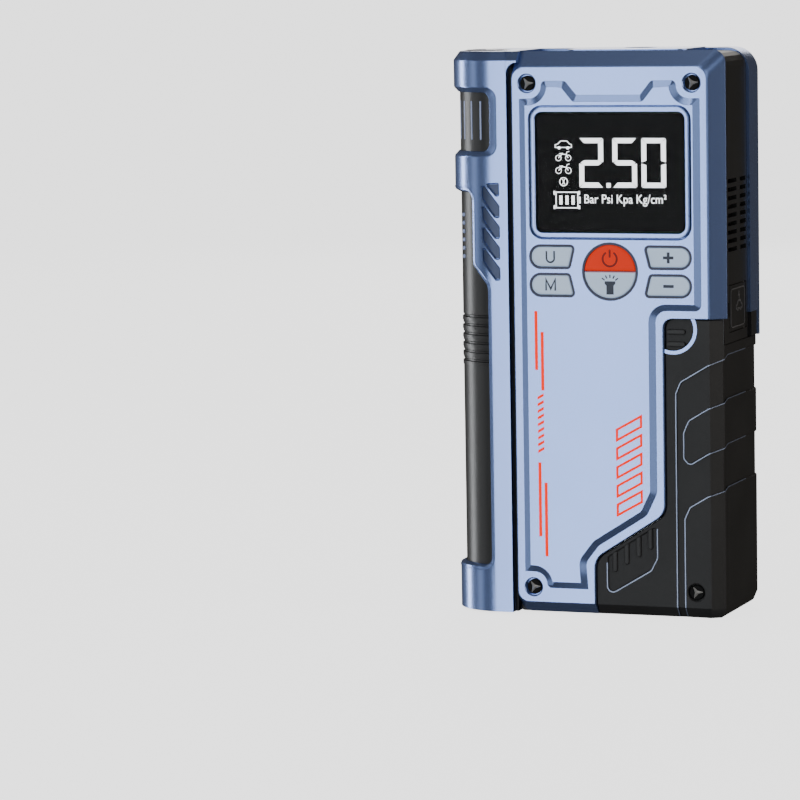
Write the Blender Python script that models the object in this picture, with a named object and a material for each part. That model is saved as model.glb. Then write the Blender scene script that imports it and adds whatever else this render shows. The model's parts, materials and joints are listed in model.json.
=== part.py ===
"""Jump starter pack with a built-in tyre inflator and torch, as an assembly of separate pieces.

Sizes are in millimetres and become metres when a mesh is made. +Z is up, the display faces -Y,
and the origin is at the centre of the footprint, on the surface that the pack stands on.
"""
import math

import bmesh
import bpy
from mathutils import Vector

MM = 0.001
GAP = 0.3                    # air between two pieces that touch in the real object

# ---------------------------------------------------------------- driving dimensions
WIDTH = 98.0
DEPTH = 50.0
HEIGHT = 190.0
LEFT = -WIDTH / 2
RIGHT = WIDTH / 2
FRONT = -DEPTH / 2
BACK = DEPTH / 2

BODY_FLOOR = 0.8             # underside of the shells; only the rubber sole reaches z = 0
BODY_TOP = HEIGHT - 0.4      # top of the painted shells; lens and outlet cap reach the full height

PANEL_FACE = FRONT + 0.2     # raised middle of the front cover
FRAME_FACE = FRONT + 1.1     # sunken border of the front cover, where the screws sit
PANEL_BACK = FRONT + 3.2     # inner face of the front cover
SKIRT_END = FRONT + 5.2      # rear edge of the front cover
PANEL_LEFT = -24.1
PANEL_RIGHT = 43.8
PANEL_STEP = 28.1            # where the cover ends beside the grip
PANEL_FOOT = 3.5             # where the cover ends beside the grip's lower pocket
PANEL_TOP = 184.4
PANEL_BOTTOM = 4.3
SHOULDER = 101.0             # height of the cover's right shoulder
TOP_CHAMFER = BODY_TOP - PANEL_TOP
SIDE_CHAMFER = RIGHT - PANEL_RIGHT
FLOOR_CHAMFER = PANEL_BOTTOM - BODY_FLOOR

DISPLAY = (-15.4, 129.7, 35.85, 169.2)   # lens: left, bottom, right, top
BEZEL = 2.0                  # width of the ring round the lens
SCREW_SPOTS = [(-18.5, 179.0), (38.4, 179.0), (-18.3, 9.6)]
GRIP_SCREW = (38.3, 9.6)
REAR_SCREWS = [(-38.0, 9.5), (26.0, 9.5), (-38.0, 174.0), (26.0, 174.0)]
SCREW_HEAD_R = 2.6
SCREW_SHANK_R = 1.1

DIAL = (10.1, 116.6, 8.9)    # round button pair: centre x, centre z, radius
BUTTON_STROKE = 0.7
SWITCH_TOP = -19.0           # tops of the tact switches on the board

COLUMN_X = -31.0             # axis of the half-round torch column
COLUMN_Y = -7.0
COLUMN_R = 18.0
COLUMN_WALL = 1.7
COLUMN_CHAMFER = 2.6         # height of the bevel round the column's top
COLUMN_INSET = 2.4           # how far that bevel leans in
STRIP_LIP = 3.0              # depth of the strip's right edge
STRIP_RIGHT = -25.4          # right edge of the column's flat front strip
BARREL_R = 16.0
BARREL_FLAT = -27.8
LAMP_X = -38.0
LAMP_R = 7.5

CORE_FRONT = SKIRT_END + GAP
CORE_BACK = 9.7
CORE_SIDE = 47.6             # right face of the black housing
CORE_TOP = 188.6
CORE_WALL = 2.0
GRIP_SIDE_TOP = 92.0
GRIP_FACE = -22.9
GRIP_WALL = 1.9
GRIP_BACK_EDGE = 34.0        # where the grip ends on the back

SOLE = (-17.0, -15.0, 39.0, 5.0)         # rubber sole: left, front, right, rear
SOLE_TOP = 2.0

PORT = (-12.4, 95.9, 8.2, 111.2)         # port cover: front, bottom, rear, top
PORT_HINGE = (46.8, 7.4)                 # x and y of its vertical hinge axis
VENT_ROWS = 9
VENT_PITCH = 2.85
VENT_TOP = 146.7
VENT_COLUMNS = [(-13.4, -2.7), (1.5, 13.0)]

MOTOR = (4.0, 135.0)         # y and z of the motor axis
GEAR_MODULE = 0.75
PINION_TEETH = 10
GEAR_TEETH = 36
PINION_R = GEAR_MODULE * PINION_TEETH / 2
GEAR_R = GEAR_MODULE * GEAR_TEETH / 2
CRANK = (MOTOR[0], MOTOR[1] - PINION_R - GEAR_R)
THROW = 2.5                  # crank pin eccentricity, half of the piston's stroke
PISTON_X = -10.0
PISTON_R = 7.6
BORE_R = 7.9
CYLINDER_R = 9.4
ROD_LENGTH = 16.0
OUTLET = (14.0, 0.5)         # x and y of the air outlet

ROUND = 28                   # sides of a mid-sized round piece
SMALL_ROUND = 16


# ---------------------------------------------------------------- outlines
def arc(cx, cy, radius, start, end, steps):
    """Points on an arc, both ends included, angles in degrees."""
    points = []
    for i in range(steps + 1):
        angle = math.radians(start + (end - start) * i / steps)
        points.append((cx + radius * math.cos(angle), cy + radius * math.sin(angle)))
    return points


def circle(cx, cy, radius, sides=ROUND):
    return arc(cx, cy, radius, 0, 360, sides)[:-1]


def rectangle(u0, v0, u1, v1, radius=0.0):
    """Corners (u, v, radius), anticlockwise."""
    return [(u0, v0, radius), (u1, v0, radius), (u1, v1, radius), (u0, v1, radius)]


def turn_at(corners, i):
    """Unit directions into and out of corner i, and the signed turn between them."""
    before = Vector(corners[i - 1][:2])
    here = Vector(corners[i][:2])
    after = Vector(corners[(i + 1) % len(corners)][:2])
    into = (here - before).normalized()
    out = (after - here).normalized()
    return here, into, out, math.atan2(into.cross(out), into.dot(out))


def rounded(corners, steps=4):
    """Outline whose corners (u, v, radius) are rounded by arcs of a few steps."""
    points = []
    for i, corner in enumerate(corners):
        here, into, out, turn = turn_at(corners, i)
        radius = corner[2]
        if radius < 0.01 or abs(turn) < 0.01:
            points.append(tuple(here))
            continue
        reach = radius * math.tan(abs(turn) / 2)
        side = math.copysign(1.0, turn)
        first = here - into * reach
        centre = first + Vector((-into.y, into.x)) * radius * side
        start = math.atan2(first.y - centre.y, first.x - centre.x)
        for k in range(steps + 1):
            angle = start + turn * k / steps
            points.append((centre.x + radius * math.cos(angle), centre.y + radius * math.sin(angle)))
    return points


def grown(corners, amount):
    """Anticlockwise corners moved outwards by an amount, their radii kept concentric."""
    result = []
    for i, corner in enumerate(corners):
        here, into, out, turn = turn_at(corners, i)
        normal_in = Vector((into.y, -into.x))
        normal_out = Vector((out.y, -out.x))
        middle = normal_in + normal_out
        shift = middle * (amount / max(0.05, 1 + normal_in.dot(normal_out)))
        radius = corner[2] + (amount if turn > 0 else -amount)
        moved = here + shift
        result.append((moved.x, moved.y, max(radius, 0.02) if corner[2] else 0.0))
    return result


def at_x(outline, x):
    return [(x, u, v) for u, v in outline]


def at_y(outline, y):
    return [(u, y, v) for u, v in outline]


def at_z(outline, z):
    return [(u, v, z) for u, v in outline]


def gear_outline(cu, cv, teeth, pitch_r, outer, inner):
    """Straight-flanked teeth, thin enough to leave backlash at the pitch circle."""
    points = []
    step = 2 * math.pi / teeth
    for i in range(teeth):
        middle = i * step
        for share, radius in ((-0.29, inner), (-0.11, outer), (0.11, outer), (0.29, inner)):
            angle = middle + share * step
            points.append((cu + radius * math.cos(angle), cv + radius * math.sin(angle)))
    return points


# ---------------------------------------------------------------- meshes and objects
def loft(rings, closed=False):
    """Mesh through rings of equally many points: capped at both ends, or closed like a tube."""
    bm = bmesh.new()
    loops = [[bm.verts.new(Vector(p) * MM) for p in ring] for ring in rings]
    count = len(loops[0])
    pairs = list(zip(loops, loops[1:]))
    if closed:
        pairs.append((loops[-1], loops[0]))
    for a, b in pairs:
        for i in range(count):
            j = (i + 1) % count
            bm.faces.new((a[i], a[j], b[j], b[i]))
    if not closed:
        bm.faces.new(loops[0])
        bm.faces.new(reversed(loops[-1]))
    bmesh.ops.recalc_face_normals(bm, faces=bm.faces)
    return bm


def box(x0, y0, z0, x1, y1, z1):
    return loft([at_z(rounded(rectangle(x0, y0, x1, y1)), z) for z in (z0, z1)])


def rod_x(y, z, radius, x0, x1, sides=SMALL_ROUND):
    return loft([at_x(circle(y, z, radius, sides), x) for x in (x0, x1)])


def rod_y(x, z, radius, y0, y1, sides=SMALL_ROUND):
    return loft([at_y(circle(x, z, radius, sides), y) for y in (y0, y1)])


def rod_z(x, y, radius, z0, z1, sides=SMALL_ROUND):
    return loft([at_z(circle(x, y, radius, sides), z) for z in (z0, z1)])


def turned_z(x, y, profile, sides=ROUND, hollow=False):
    """Round piece about a vertical axis from (radius, z) pairs."""
    return loft([at_z(circle(x, y, radius, sides), z) for radius, z in profile], closed=hollow)


def turned_y(x, z, profile, sides=SMALL_ROUND):
    return loft([at_y(circle(x, z, radius, sides), y) for radius, y in profile])


def join(meshes):
    """One bmesh from several that don't touch each other."""
    whole = bmesh.new()
    for bm in meshes:
        mesh = bpy.data.meshes.new("joined")
        bm.to_mesh(mesh)
        bm.free()
        whole.from_mesh(mesh)
        bpy.data.meshes.remove(mesh)
    return whole


def piece(name, bm, material, origin=(0, 0, 0)):
    """Named object of one material, with its origin at a point given in millimetres."""
    shift = Vector(origin) * MM
    for vert in bm.verts:
        vert.co -= shift
    mesh = bpy.data.meshes.new(name)
    bm.to_mesh(mesh)
    bm.free()
    mesh.shade_smooth()
    mesh.set_sharp_from_angle(angle=math.radians(35))
    obj = bpy.data.objects.new(name, mesh)
    obj.location = shift
    mesh.materials.append(material)
    bpy.context.scene.collection.objects.link(obj)
    return obj


def combine(target, bm, operation):
    """Boolean of a piece with a helper shape, which stays hidden beside it."""
    count = len(target.modifiers)
    helper = piece(f"{target.name}_helper{count}", bm, target.data.materials[0])
    helper.hide_render = True
    helper.display_type = "WIRE"
    modifier = target.modifiers.new(f"{operation.lower()}{count}", "BOOLEAN")
    modifier.operation = operation
    modifier.solver = "EXACT"
    modifier.object = helper


def cut(target, *shapes):
    for bm in shapes:
        combine(target, bm, "DIFFERENCE")


def add(target, *shapes):
    for bm in shapes:
        combine(target, bm, "UNION")


def paint(name, colour, roughness, metallic=0.0, alpha=1.0):
    material = bpy.data.materials.new(name)
    material.use_nodes = True
    shader = material.node_tree.nodes["Principled BSDF"]
    shader.inputs["Base Color"].default_value = (*colour, 1.0)
    shader.inputs["Roughness"].default_value = roughness
    shader.inputs["Metallic"].default_value = metallic
    shader.inputs["Alpha"].default_value = alpha
    return material


# ---------------------------------------------------------------- shared outlines of the shell
def cover_corners(top=0.0, side=0.0, bottom=0.0):
    """Front cover seen from the front, its top, right and bottom edges moved out."""
    right = PANEL_RIGHT + side
    return [
        (PANEL_LEFT, PANEL_BOTTOM - bottom, 4.0),
        (PANEL_FOOT, PANEL_BOTTOM - bottom, 0.0),
        (PANEL_FOOT, 20.0, 6.0),
        (PANEL_STEP, 35.7, 6.0),
        (PANEL_STEP, SHOULDER, 3.0),
        (right, SHOULDER, 0.5),
        (right, PANEL_TOP + top, 4.0),
        (PANEL_LEFT, PANEL_TOP + top, 4.0),
    ]


def plateau_corners(inset=0.0):
    """Raised middle of the front cover, anticlockwise from the lower left screw boss."""
    corners = [
        (-20.0, 16.1, 0.0), (-16.7, 16.9, 1.5), (-12.3, 13.4, 1.5), (-12.2, 10.7, 0.0),
        (-0.3, 10.7, 0.0), (-0.9, 19.0, 5.0), (4.0, 25.3, 4.0), (20.8, 35.9, 4.0),
        (24.2, 43.0, 4.0), (24.2, 104.9, 5.0), (40.0, 104.9, 1.0), (40.0, 171.4, 0.0),
        (35.9, 172.6, 1.5), (31.9, 175.2, 1.5), (31.9, 178.6, 0.0), (25.2, 178.6, 0.5),
        (21.4, 173.9, 0.5), (-1.8, 173.9, 0.5), (-5.7, 178.6, 0.5), (-12.3, 178.6, 0.0),
        (-12.4, 175.8, 1.5), (-16.0, 172.6, 1.5), (-20.0, 173.1, 0.0),
    ]
    return grown(corners, -inset)


def button_corners(left, right, bottom, top, slant, round_left):
    """Pill with one round end; its other end slants towards the round pair."""
    if round_left:
        return [(left, bottom, 3.2), (right + slant, bottom, 0.8),
                (right - slant, top, 0.8), (left, top, 3.2)]
    return [(left - slant, bottom, 0.8), (right, bottom, 3.2),
            (right, top, 3.2), (left + slant, top, 0.8)]


BUTTONS = {
    "unit_button": button_corners(-17.3, -3.5, 118.0, 124.7, -0.8, True),
    "mode_button": button_corners(-17.3, -3.5, 108.6, 115.2, 0.8, True),
    "plus_button": button_corners(23.4, 37.6, 118.1, 124.7, -0.8, False),
    "minus_button": button_corners(23.4, 37.6, 108.7, 115.2, 0.8, False),
}


def half_disc(cx, cz, radius, upper, gap=0.15):
    """Upper or lower half of a disc, split by a narrow slot at its centre line."""
    tilt = math.degrees(math.asin(gap / radius))
    if upper:
        return arc(cx, cz, radius, tilt, 180 - tilt, 17)
    return arc(cx, cz, radius, 180 + tilt, 360 - tilt, 17)


# ---------------------------------------------------------------- shell pieces
def make_front_cover(paint_blue):
    """Screwed-on front cover: chamfered border, raised middle, holes for display and buttons."""
    steps = 4
    face = rounded(cover_corners(), steps)
    rim = rounded(cover_corners(TOP_CHAMFER, SIDE_CHAMFER, FLOOR_CHAMFER), steps)
    cover = piece("front_cover", loft([at_y(face, FRAME_FACE), at_y(rim, SKIRT_END)]), paint_blue)
    low = rounded(plateau_corners(), 2)
    high = rounded(plateau_corners(0.9), 2)
    add(cover, loft([at_y(low, FRAME_FACE + 0.5), at_y(low, FRAME_FACE), at_y(high, PANEL_FACE)]))
    inner = rounded(grown(cover_corners(), -2.2), steps)
    cut(cover, loft([at_y(inner, PANEL_BACK), at_y(inner, SKIRT_END + 1)]))
    hole = rounded(grown(rectangle(*DISPLAY, 2.2), BEZEL + GAP), 3)
    cut(cover, loft([at_y(hole, FRONT - 1), at_y(hole, SKIRT_END + 1)]))
    holes = []
    for corners in BUTTONS.values():
        outline = rounded(grown(corners, 0.35), 4)
        holes.append(loft([at_y(outline, FRONT - 1), at_y(outline, PANEL_BACK + 1)]))
    holes.append(rod_y(DIAL[0], DIAL[1], DIAL[2] + 0.35, FRONT - 1, PANEL_BACK + 1, 32))
    for x, z in SCREW_SPOTS:
        head = SCREW_HEAD_R + GAP
        shank = SCREW_SHANK_R + GAP
        seat = FRAME_FACE + 1.6
        holes.append(turned_y(x, z, [(head, FRONT - 1), (head, seat), (shank, seat),
                                     (shank, SKIRT_END + 1)]))
    cut(cover, join(holes))
    return cover


def make_display_bezel(plastic):
    """Ring round the display with a wider flange behind the front cover."""
    inner = rounded(grown(rectangle(*DISPLAY, 2.2), GAP), 3)
    outer = rounded(grown(rectangle(*DISPLAY, 2.2), BEZEL), 3)
    flange = rounded(grown(rectangle(*DISPLAY, 2.2), BEZEL + 1.3), 3)
    flange_front = PANEL_BACK + GAP
    flange_back = flange_front + 1.1
    rings = [at_y(outer, PANEL_FACE), at_y(outer, flange_front), at_y(flange, flange_front),
             at_y(flange, flange_back), at_y(inner, flange_back), at_y(inner, PANEL_FACE)]
    return piece("display_bezel", loft(rings, closed=True), plastic)


def make_display(glass, dark):
    """Clear window and the segment display behind it."""
    window = rounded(rectangle(*DISPLAY, 2.2), 3)
    left, bottom, right, top = DISPLAY
    piece("display_lens", loft([at_y(window, PANEL_FACE + 0.2), at_y(window, PANEL_FACE + 1.4)]), glass)
    margin = 1.2
    piece("display_module", box(left + margin, PANEL_FACE + 1.7, bottom + margin,
                                right - margin, PANEL_BACK + 1.2, top - margin), dark)


def make_button(name, outline, flange, centre, plastic):
    """Button cap, retaining flange behind the cover and a stem towards its switch."""
    flange_front = PANEL_BACK + GAP
    flange_back = flange_front + 0.8
    stem_end = SWITCH_TOP - BUTTON_STROKE - 0.2
    rings = [at_y(outline, FRONT), at_y(outline, flange_front), at_y(flange, flange_front),
             at_y(flange, flange_back)]
    button = piece(name, loft(rings), plastic, origin=(centre[0], flange_back, centre[1]))
    add(button, rod_y(centre[0], centre[1], 1.2, flange_back - 0.6, stem_end, 11))
    return button


def button_centres():
    """Where each button's stem and switch sit, in x and z."""
    centres = {}
    for name, corners in BUTTONS.items():
        centres[name] = (sum(c[0] for c in corners) / 4, sum(c[1] for c in corners) / 4)
    centres["power_button"] = (DIAL[0], DIAL[1] + DIAL[2] * 0.45)
    centres["light_button"] = (DIAL[0], DIAL[1] - DIAL[2] * 0.45)
    return centres


def make_buttons(light_plastic, orange_plastic):
    centres = button_centres()
    for name, corners in BUTTONS.items():
        make_button(name, rounded(corners, 4), rounded(grown(corners, 0.9), 4),
                    centres[name], light_plastic)
    for name, upper, plastic in (("power_button", True, orange_plastic),
                                 ("light_button", False, light_plastic)):
        make_button(name, half_disc(DIAL[0], DIAL[1], DIAL[2], upper),
                    half_disc(DIAL[0], DIAL[1], DIAL[2] + 0.9, upper, 0.4), centres[name], plastic)


def screw(x, z, face, length, direction=1):
    """Machine screw along Y with a shallow socket in its flat head."""
    head_end = face + direction * 1.4
    tip = head_end + direction * length
    socket_r = SCREW_HEAD_R * 0.5
    profile = [(socket_r, face + direction * 0.7), (socket_r, face), (SCREW_HEAD_R, face),
               (SCREW_HEAD_R, head_end), (SCREW_SHANK_R, head_end), (SCREW_SHANK_R, tip)]
    return turned_y(x, z, profile, 12)


def make_cover_screws(steel):
    for i, (x, z) in enumerate(SCREW_SPOTS):
        piece(f"cover_screw_{i + 1}", screw(x, z, FRAME_FACE + 0.1, 11.0), steel)
    piece("grip_screw", screw(*GRIP_SCREW, GRIP_FACE + 0.1, 10.0), steel)


def column_outline(inset, back):
    """Half-round column seen from above, from its front strip round to the left side."""
    bend = arc(COLUMN_X, COLUMN_Y, COLUMN_R - inset, 270, 180, 14)
    return bend + [(LEFT + inset, back)]


def column_plan(inset):
    """Outside of the column shell seen from above, with its rim moved inwards by inset."""
    lip = PANEL_LEFT - GAP
    front = [(STRIP_RIGHT, FRONT + inset)]
    right = [(lip, CORE_BACK), (lip, FRONT + STRIP_LIP), (STRIP_RIGHT, FRONT + STRIP_LIP)]
    return front + column_outline(inset, CORE_BACK) + right


def make_column_shell(paint_blue):
    """Painted shell of the torch column, with a window and a long opening onto the barrel."""
    rim = column_plan(0.0)
    rings = [at_z(rim, BODY_FLOOR), at_z(rim, BODY_TOP - COLUMN_CHAMFER),
             at_z(column_plan(COLUMN_INSET), BODY_TOP)]
    shell = piece("column_shell", loft(rings), paint_blue)
    strip_inside = STRIP_RIGHT - 2.0
    open_side = PANEL_LEFT - GAP + 5
    open_back = CORE_BACK + 2
    inner = [(strip_inside, FRONT + COLUMN_WALL)] + column_outline(COLUMN_WALL, open_back)
    inner += [(open_side, open_back), (open_side, CORE_FRONT - 0.5), (strip_inside, CORE_FRONT - 0.5)]
    cut(shell, loft([at_z(inner, BODY_FLOOR + 2.0), at_z(inner, BODY_TOP - 3.4)]))
    window = rounded([(-60, 155.7, 0), (-32.6, 155.7, 2.5), (-32.6, 175.7, 2.5), (-60, 175.7, 0)], 3)
    slot = rounded([(-60, 16.0, 0), (-35.7, 16.0, 1.5), (-35.7, 112.0, 3.0), (-39.7, 117.5, 3.0),
                    (-39.7, 143.0, 1.5), (-60, 143.0, 0)], 3)
    cut(shell, loft([at_y(window, -30), at_y(window, 0)]), loft([at_y(slot, -30), at_y(slot, 0)]))
    cut(shell, rod_z(LAMP_X, COLUMN_Y, LAMP_R + GAP, 180, 195, ROUND))
    return shell


def barrel_outline(radius, flat):
    """D-shaped section: a round left side closed by a flat wall."""
    half = math.degrees(math.acos((flat - COLUMN_X) / radius))
    return arc(COLUMN_X, COLUMN_Y, radius, half, 360 - half, 20)


def make_torch(black, chrome, lamp, glass):
    """Torch inside the column: barrel, slotted head, reflector, light source and lens."""
    outer = barrel_outline(BARREL_R, BARREL_FLAT)
    groove = barrel_outline(BARREL_R - 0.6, BARREL_FLAT)
    inner = barrel_outline(BARREL_R - 1.8, BARREL_FLAT - 1.6)
    rings = [at_z(outer, 3.3)]
    for i in range(4):
        base = 84.0 + 4.4 * i
        rings += [at_z(outer, base), at_z(groove, base + 0.5), at_z(groove, base + 1.7),
                  at_z(outer, base + 2.2)]
    rings += [at_z(outer, 151.5), at_z(inner, 151.5), at_z(inner, 3.3)]
    piece("torch_barrel", loft(rings, closed=True), black)
    rings = [at_z(outer, 152.0), at_z(outer, 178.0), at_z(inner, 178.0), at_z(inner, 152.0)]
    head = piece("torch_head", loft(rings, closed=True), black)
    slots = []
    for degrees in (22.0, 36.5, 51.0):
        angle = math.radians(degrees)
        x = COLUMN_X - BARREL_R * math.sin(angle)
        y = COLUMN_Y - BARREL_R * math.cos(angle)
        slots.append(rod_z(x, y, 0.6, 158.5, 172.5, 8))
    cut(head, join(slots))
    bowl = [(2.6, 178.6), (LAMP_R - 0.4, 185.6), (LAMP_R - 1.3, 185.6), (2.6, 179.9)]
    piece("torch_reflector", turned_z(LAMP_X, COLUMN_Y, bowl, 24, hollow=True), chrome)
    piece("torch_led", turned_z(LAMP_X, COLUMN_Y, [(5.0, 176.6), (5.0, 178.2), (1.4, 178.2),
                                                   (1.0, 179.6)], 12), lamp)
    piece("torch_lens", turned_z(LAMP_X, COLUMN_Y, [(LAMP_R, 187.2), (LAMP_R, 189.6),
                                                    (LAMP_R - 0.8, HEIGHT)], 24), glass)


def core_corners(inset=0.0):
    """Black housing seen from the front: its lower right side steps in under the grip."""
    right = CORE_SIDE - inset
    tucked = CORE_SIDE - GRIP_WALL - GAP - inset
    step = GRIP_SIDE_TOP + GAP + inset
    left = PANEL_LEFT + inset
    return [(left, BODY_FLOOR + inset, 1.0), (tucked, BODY_FLOOR + inset, 1.0), (tucked, step, 0.0),
            (right, step, 0.0), (right, CORE_TOP - inset, 5.0 - inset), (left, CORE_TOP - inset, 1.0)]


def make_core_housing(black):
    """Mid-frame between the covers: vents and port bay on the right, outlet on top, sole below."""
    outer = rounded(core_corners())
    inner = rounded(core_corners(CORE_WALL))
    rings = [at_y(outer, CORE_FRONT), at_y(outer, CORE_BACK), at_y(inner, CORE_BACK),
             at_y(inner, CORE_FRONT)]
    core = piece("core_housing", loft(rings, closed=True), black)
    boss = 3.2
    boss_end = CORE_FRONT + 11
    for x, z in SCREW_SPOTS + [GRIP_SCREW]:
        far = CORE_TOP - 1 if z > HEIGHT / 2 else BODY_FLOOR + 2.9
        add(core, box(x - boss, CORE_FRONT, min(z - boss, far), x + boss, boss_end, max(z + boss, far)))
    floor = 2.0
    add(core, box(-20, CORE_FRONT + 2, BODY_FLOOR + 1.9, 43, CORE_BACK - 2, BODY_FLOOR + 1.9 + floor))
    vents = []
    for row in range(VENT_ROWS):
        top = VENT_TOP - row * VENT_PITCH
        for front, rear in VENT_COLUMNS:
            rear = min(rear, CORE_BACK - 1.2)
            vents.append(box(CORE_SIDE - 3, front, top - 1.4, CORE_SIDE + 1, rear, top))
    for x, z in SCREW_SPOTS + [GRIP_SCREW]:
        vents.append(rod_y(x, z, SCREW_SHANK_R + GAP, CORE_FRONT - 1, boss_end - 1.0, 12))
    front, bottom, rear, top = PORT
    vents.append(box(CORE_SIDE - 3, front - GAP, bottom - GAP, CORE_SIDE + 1, rear + GAP, top + GAP))
    vents.append(rod_z(OUTLET[0], OUTLET[1], 6.6, CORE_TOP - 3, CORE_TOP + 3, 24))
    vents.append(box(SOLE[0] - GAP, SOLE[1] - GAP, -1, SOLE[2] + GAP, SOLE[3] + GAP, SOLE_TOP + GAP))
    cut(core, join(vents))
    hinge_x, hinge_y = PORT_HINGE
    cut(core, rod_z(hinge_x, hinge_y, 0.7, bottom - 2.2, top + 2.2, 12))
    cut(core, box(CORE_SIDE - 1, front - 1.6, 101.0, CORE_SIDE + 1, front + 1, 105.7))
    return core


def make_sole(rubber):
    outline = rounded(rectangle(*SOLE, 3.0), 3)
    return piece("rubber_sole", loft([at_z(outline, 0.0), at_z(outline, SOLE_TOP)]), rubber)


def grip_section(wall=0.0):
    """Grip seen from above, its outer or inner face, from the front leaf round to the back leaf."""
    side = CORE_SIDE - wall
    front = GRIP_FACE + wall
    back = BACK - wall
    radius = 5.5 - wall
    corner = [(43.6, front), (side, -19.3)] if not wall else [(44.2, front), (side, CORE_FRONT - GAP)]
    points = [(40.0, front)] + corner
    points += arc(side - radius, back - radius, radius, 0, 90, 5)
    points.append((GRIP_BACK_EDGE, back))
    return points


def make_side_grip(rubber):
    """Wrap-round hand grip: front leaf, chamfered corner, side wall and back leaf."""
    section = grip_section() + grip_section(GRIP_WALL)[::-1]
    grip = piece("side_grip", loft([at_z(section, BODY_FLOOR), at_z(section, GRIP_SIDE_TOP)]), rubber)
    edge = GAP
    leaf = rounded([(PANEL_FOOT + edge, BODY_FLOOR, 0), (42.0, BODY_FLOOR, 0), (42.0, SHOULDER - edge, 0),
                    (PANEL_STEP + edge, SHOULDER - edge, 2.8), (PANEL_STEP + edge, 35.5, 6.0),
                    (PANEL_FOOT + edge, 19.8, 6.0)], 4)
    add(grip, loft([at_y(leaf, GRIP_FACE), at_y(leaf, GRIP_FACE + GRIP_WALL)]))
    corner = [(41.0, GRIP_FACE), (43.6, GRIP_FACE), (CORE_SIDE - 0.5, CORE_FRONT - GAP),
              (41.0, CORE_FRONT - GAP)]
    add(grip, loft([at_z(corner, 85.0), at_z(corner, SHOULDER - edge)]))
    x, z = GRIP_SCREW
    seat = GRIP_FACE + 1.5
    cut(grip, turned_y(x, z, [(SCREW_HEAD_R + GAP, FRONT - 1), (SCREW_HEAD_R + GAP, seat),
                              (SCREW_SHANK_R + GAP, seat), (SCREW_SHANK_R + GAP, -15)]))
    return grip


REAR_RIGHT = RIGHT - 0.2
REAR_ROUND = 4.5


def rear_rings():
    """Rear cover from its front edge to its back face, its rear edges rounded all the way round."""
    corners = [(LEFT, BODY_FLOOR, 5.5), (REAR_RIGHT, BODY_FLOOR, 5.5),
               (REAR_RIGHT, BODY_TOP, 8.0), (LEFT, BODY_TOP, 5.5)]
    rings = [at_y(rounded(corners), CORE_BACK + GAP)]
    for degrees in (0, 25, 50, 70, 90):
        angle = math.radians(degrees)
        inset = REAR_ROUND * (1 - math.cos(angle))
        outline = rounded(grown(corners, -inset))
        rings.append(at_y(outline, BACK - REAR_ROUND * (1 - math.sin(angle))))
    return rings


def make_rear_cover(paint_blue):
    """Painted rear tray; its lower right corner is cut away for the grip."""
    cover = piece("rear_cover", loft(rear_rings()), paint_blue)
    wall = 2.0
    tucked = CORE_SIDE - GRIP_WALL - GAP
    ledge = GRIP_SIDE_TOP + 8.7
    sunk_back = BACK - GRIP_WALL - GAP
    shallow = sunk_back - wall
    hollows = ((CORE_BACK - 1, shallow, tucked - wall, wall),
               (shallow - 0.5, BACK - wall - 1, GRIP_BACK_EDGE - GAP - wall, wall + 0.5))
    for front, back, narrow, inset in hollows:
        low = BODY_FLOOR + inset
        high = BODY_TOP - inset
        outline = rounded([(LEFT + inset, low, 5), (narrow, low, 1), (narrow, ledge + inset, 0),
                           (REAR_RIGHT - inset, ledge + inset, 1), (REAR_RIGHT - inset, high, 5),
                           (LEFT + inset, high, 5)], 2)
        cut(cover, loft([at_y(outline, front), at_y(outline, back)]))
    recess = rounded([(GRIP_BACK_EDGE - GAP, sunk_back, 0), (tucked, sunk_back, 3.2), (tucked, 0, 0),
                      (60, 0, 0), (60, 40, 0), (GRIP_BACK_EDGE - GAP, 40, 0)], 4)
    cut(cover, loft([at_z(recess, -2), at_z(recess, GRIP_SIDE_TOP + GAP)]))
    cut(cover, box(tucked + 0.5, 0, GRIP_SIDE_TOP, 60, 18.8, ledge))
    head = SCREW_HEAD_R + GAP
    shank = SCREW_SHANK_R + GAP
    seat = BACK - 1.8
    holes = []
    bosses = []
    for x, z in REAR_SCREWS:
        bosses.append(box(x - 3.2, CORE_BACK + GAP, z - 3.2, x + 3.2, BACK - 1, z + 3.2))
        holes.append(turned_y(x, z, [(head, BACK + 1), (head, seat), (shank, seat), (shank, 0)]))
    add(cover, join(bosses))
    cut(cover, join(holes))
    return cover


def make_rear_screws(steel):
    for i, (x, z) in enumerate(REAR_SCREWS):
        piece(f"rear_screw_{i + 1}", screw(x, z, BACK - 0.3, 12.0, -1), steel)


# ---------------------------------------------------------------- top outlet and side port
def make_outlet(paint_blue, brass):
    """Raised cap on top of the housing and the brass hose connector in it."""
    plate = rounded(rectangle(-7.0, CORE_FRONT + 2, 35.0, CORE_BACK - 1.5, 3.0), 3)
    cap = piece("outlet_cap", loft([at_z(plate, CORE_TOP + GAP / 2), at_z(plate, HEIGHT)]), paint_blue)
    cut(cap, rod_z(*OUTLET, 5.6, CORE_TOP - 2, HEIGHT + 2, 24))
    profile = [(5.2, 178.5), (5.2, 189.2), (4.0, 189.2), (4.0, 181.0), (1.2, 181.0), (1.2, 178.5)]
    piece("air_outlet", turned_z(*OUTLET, profile, 24, hollow=True), brass)


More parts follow.
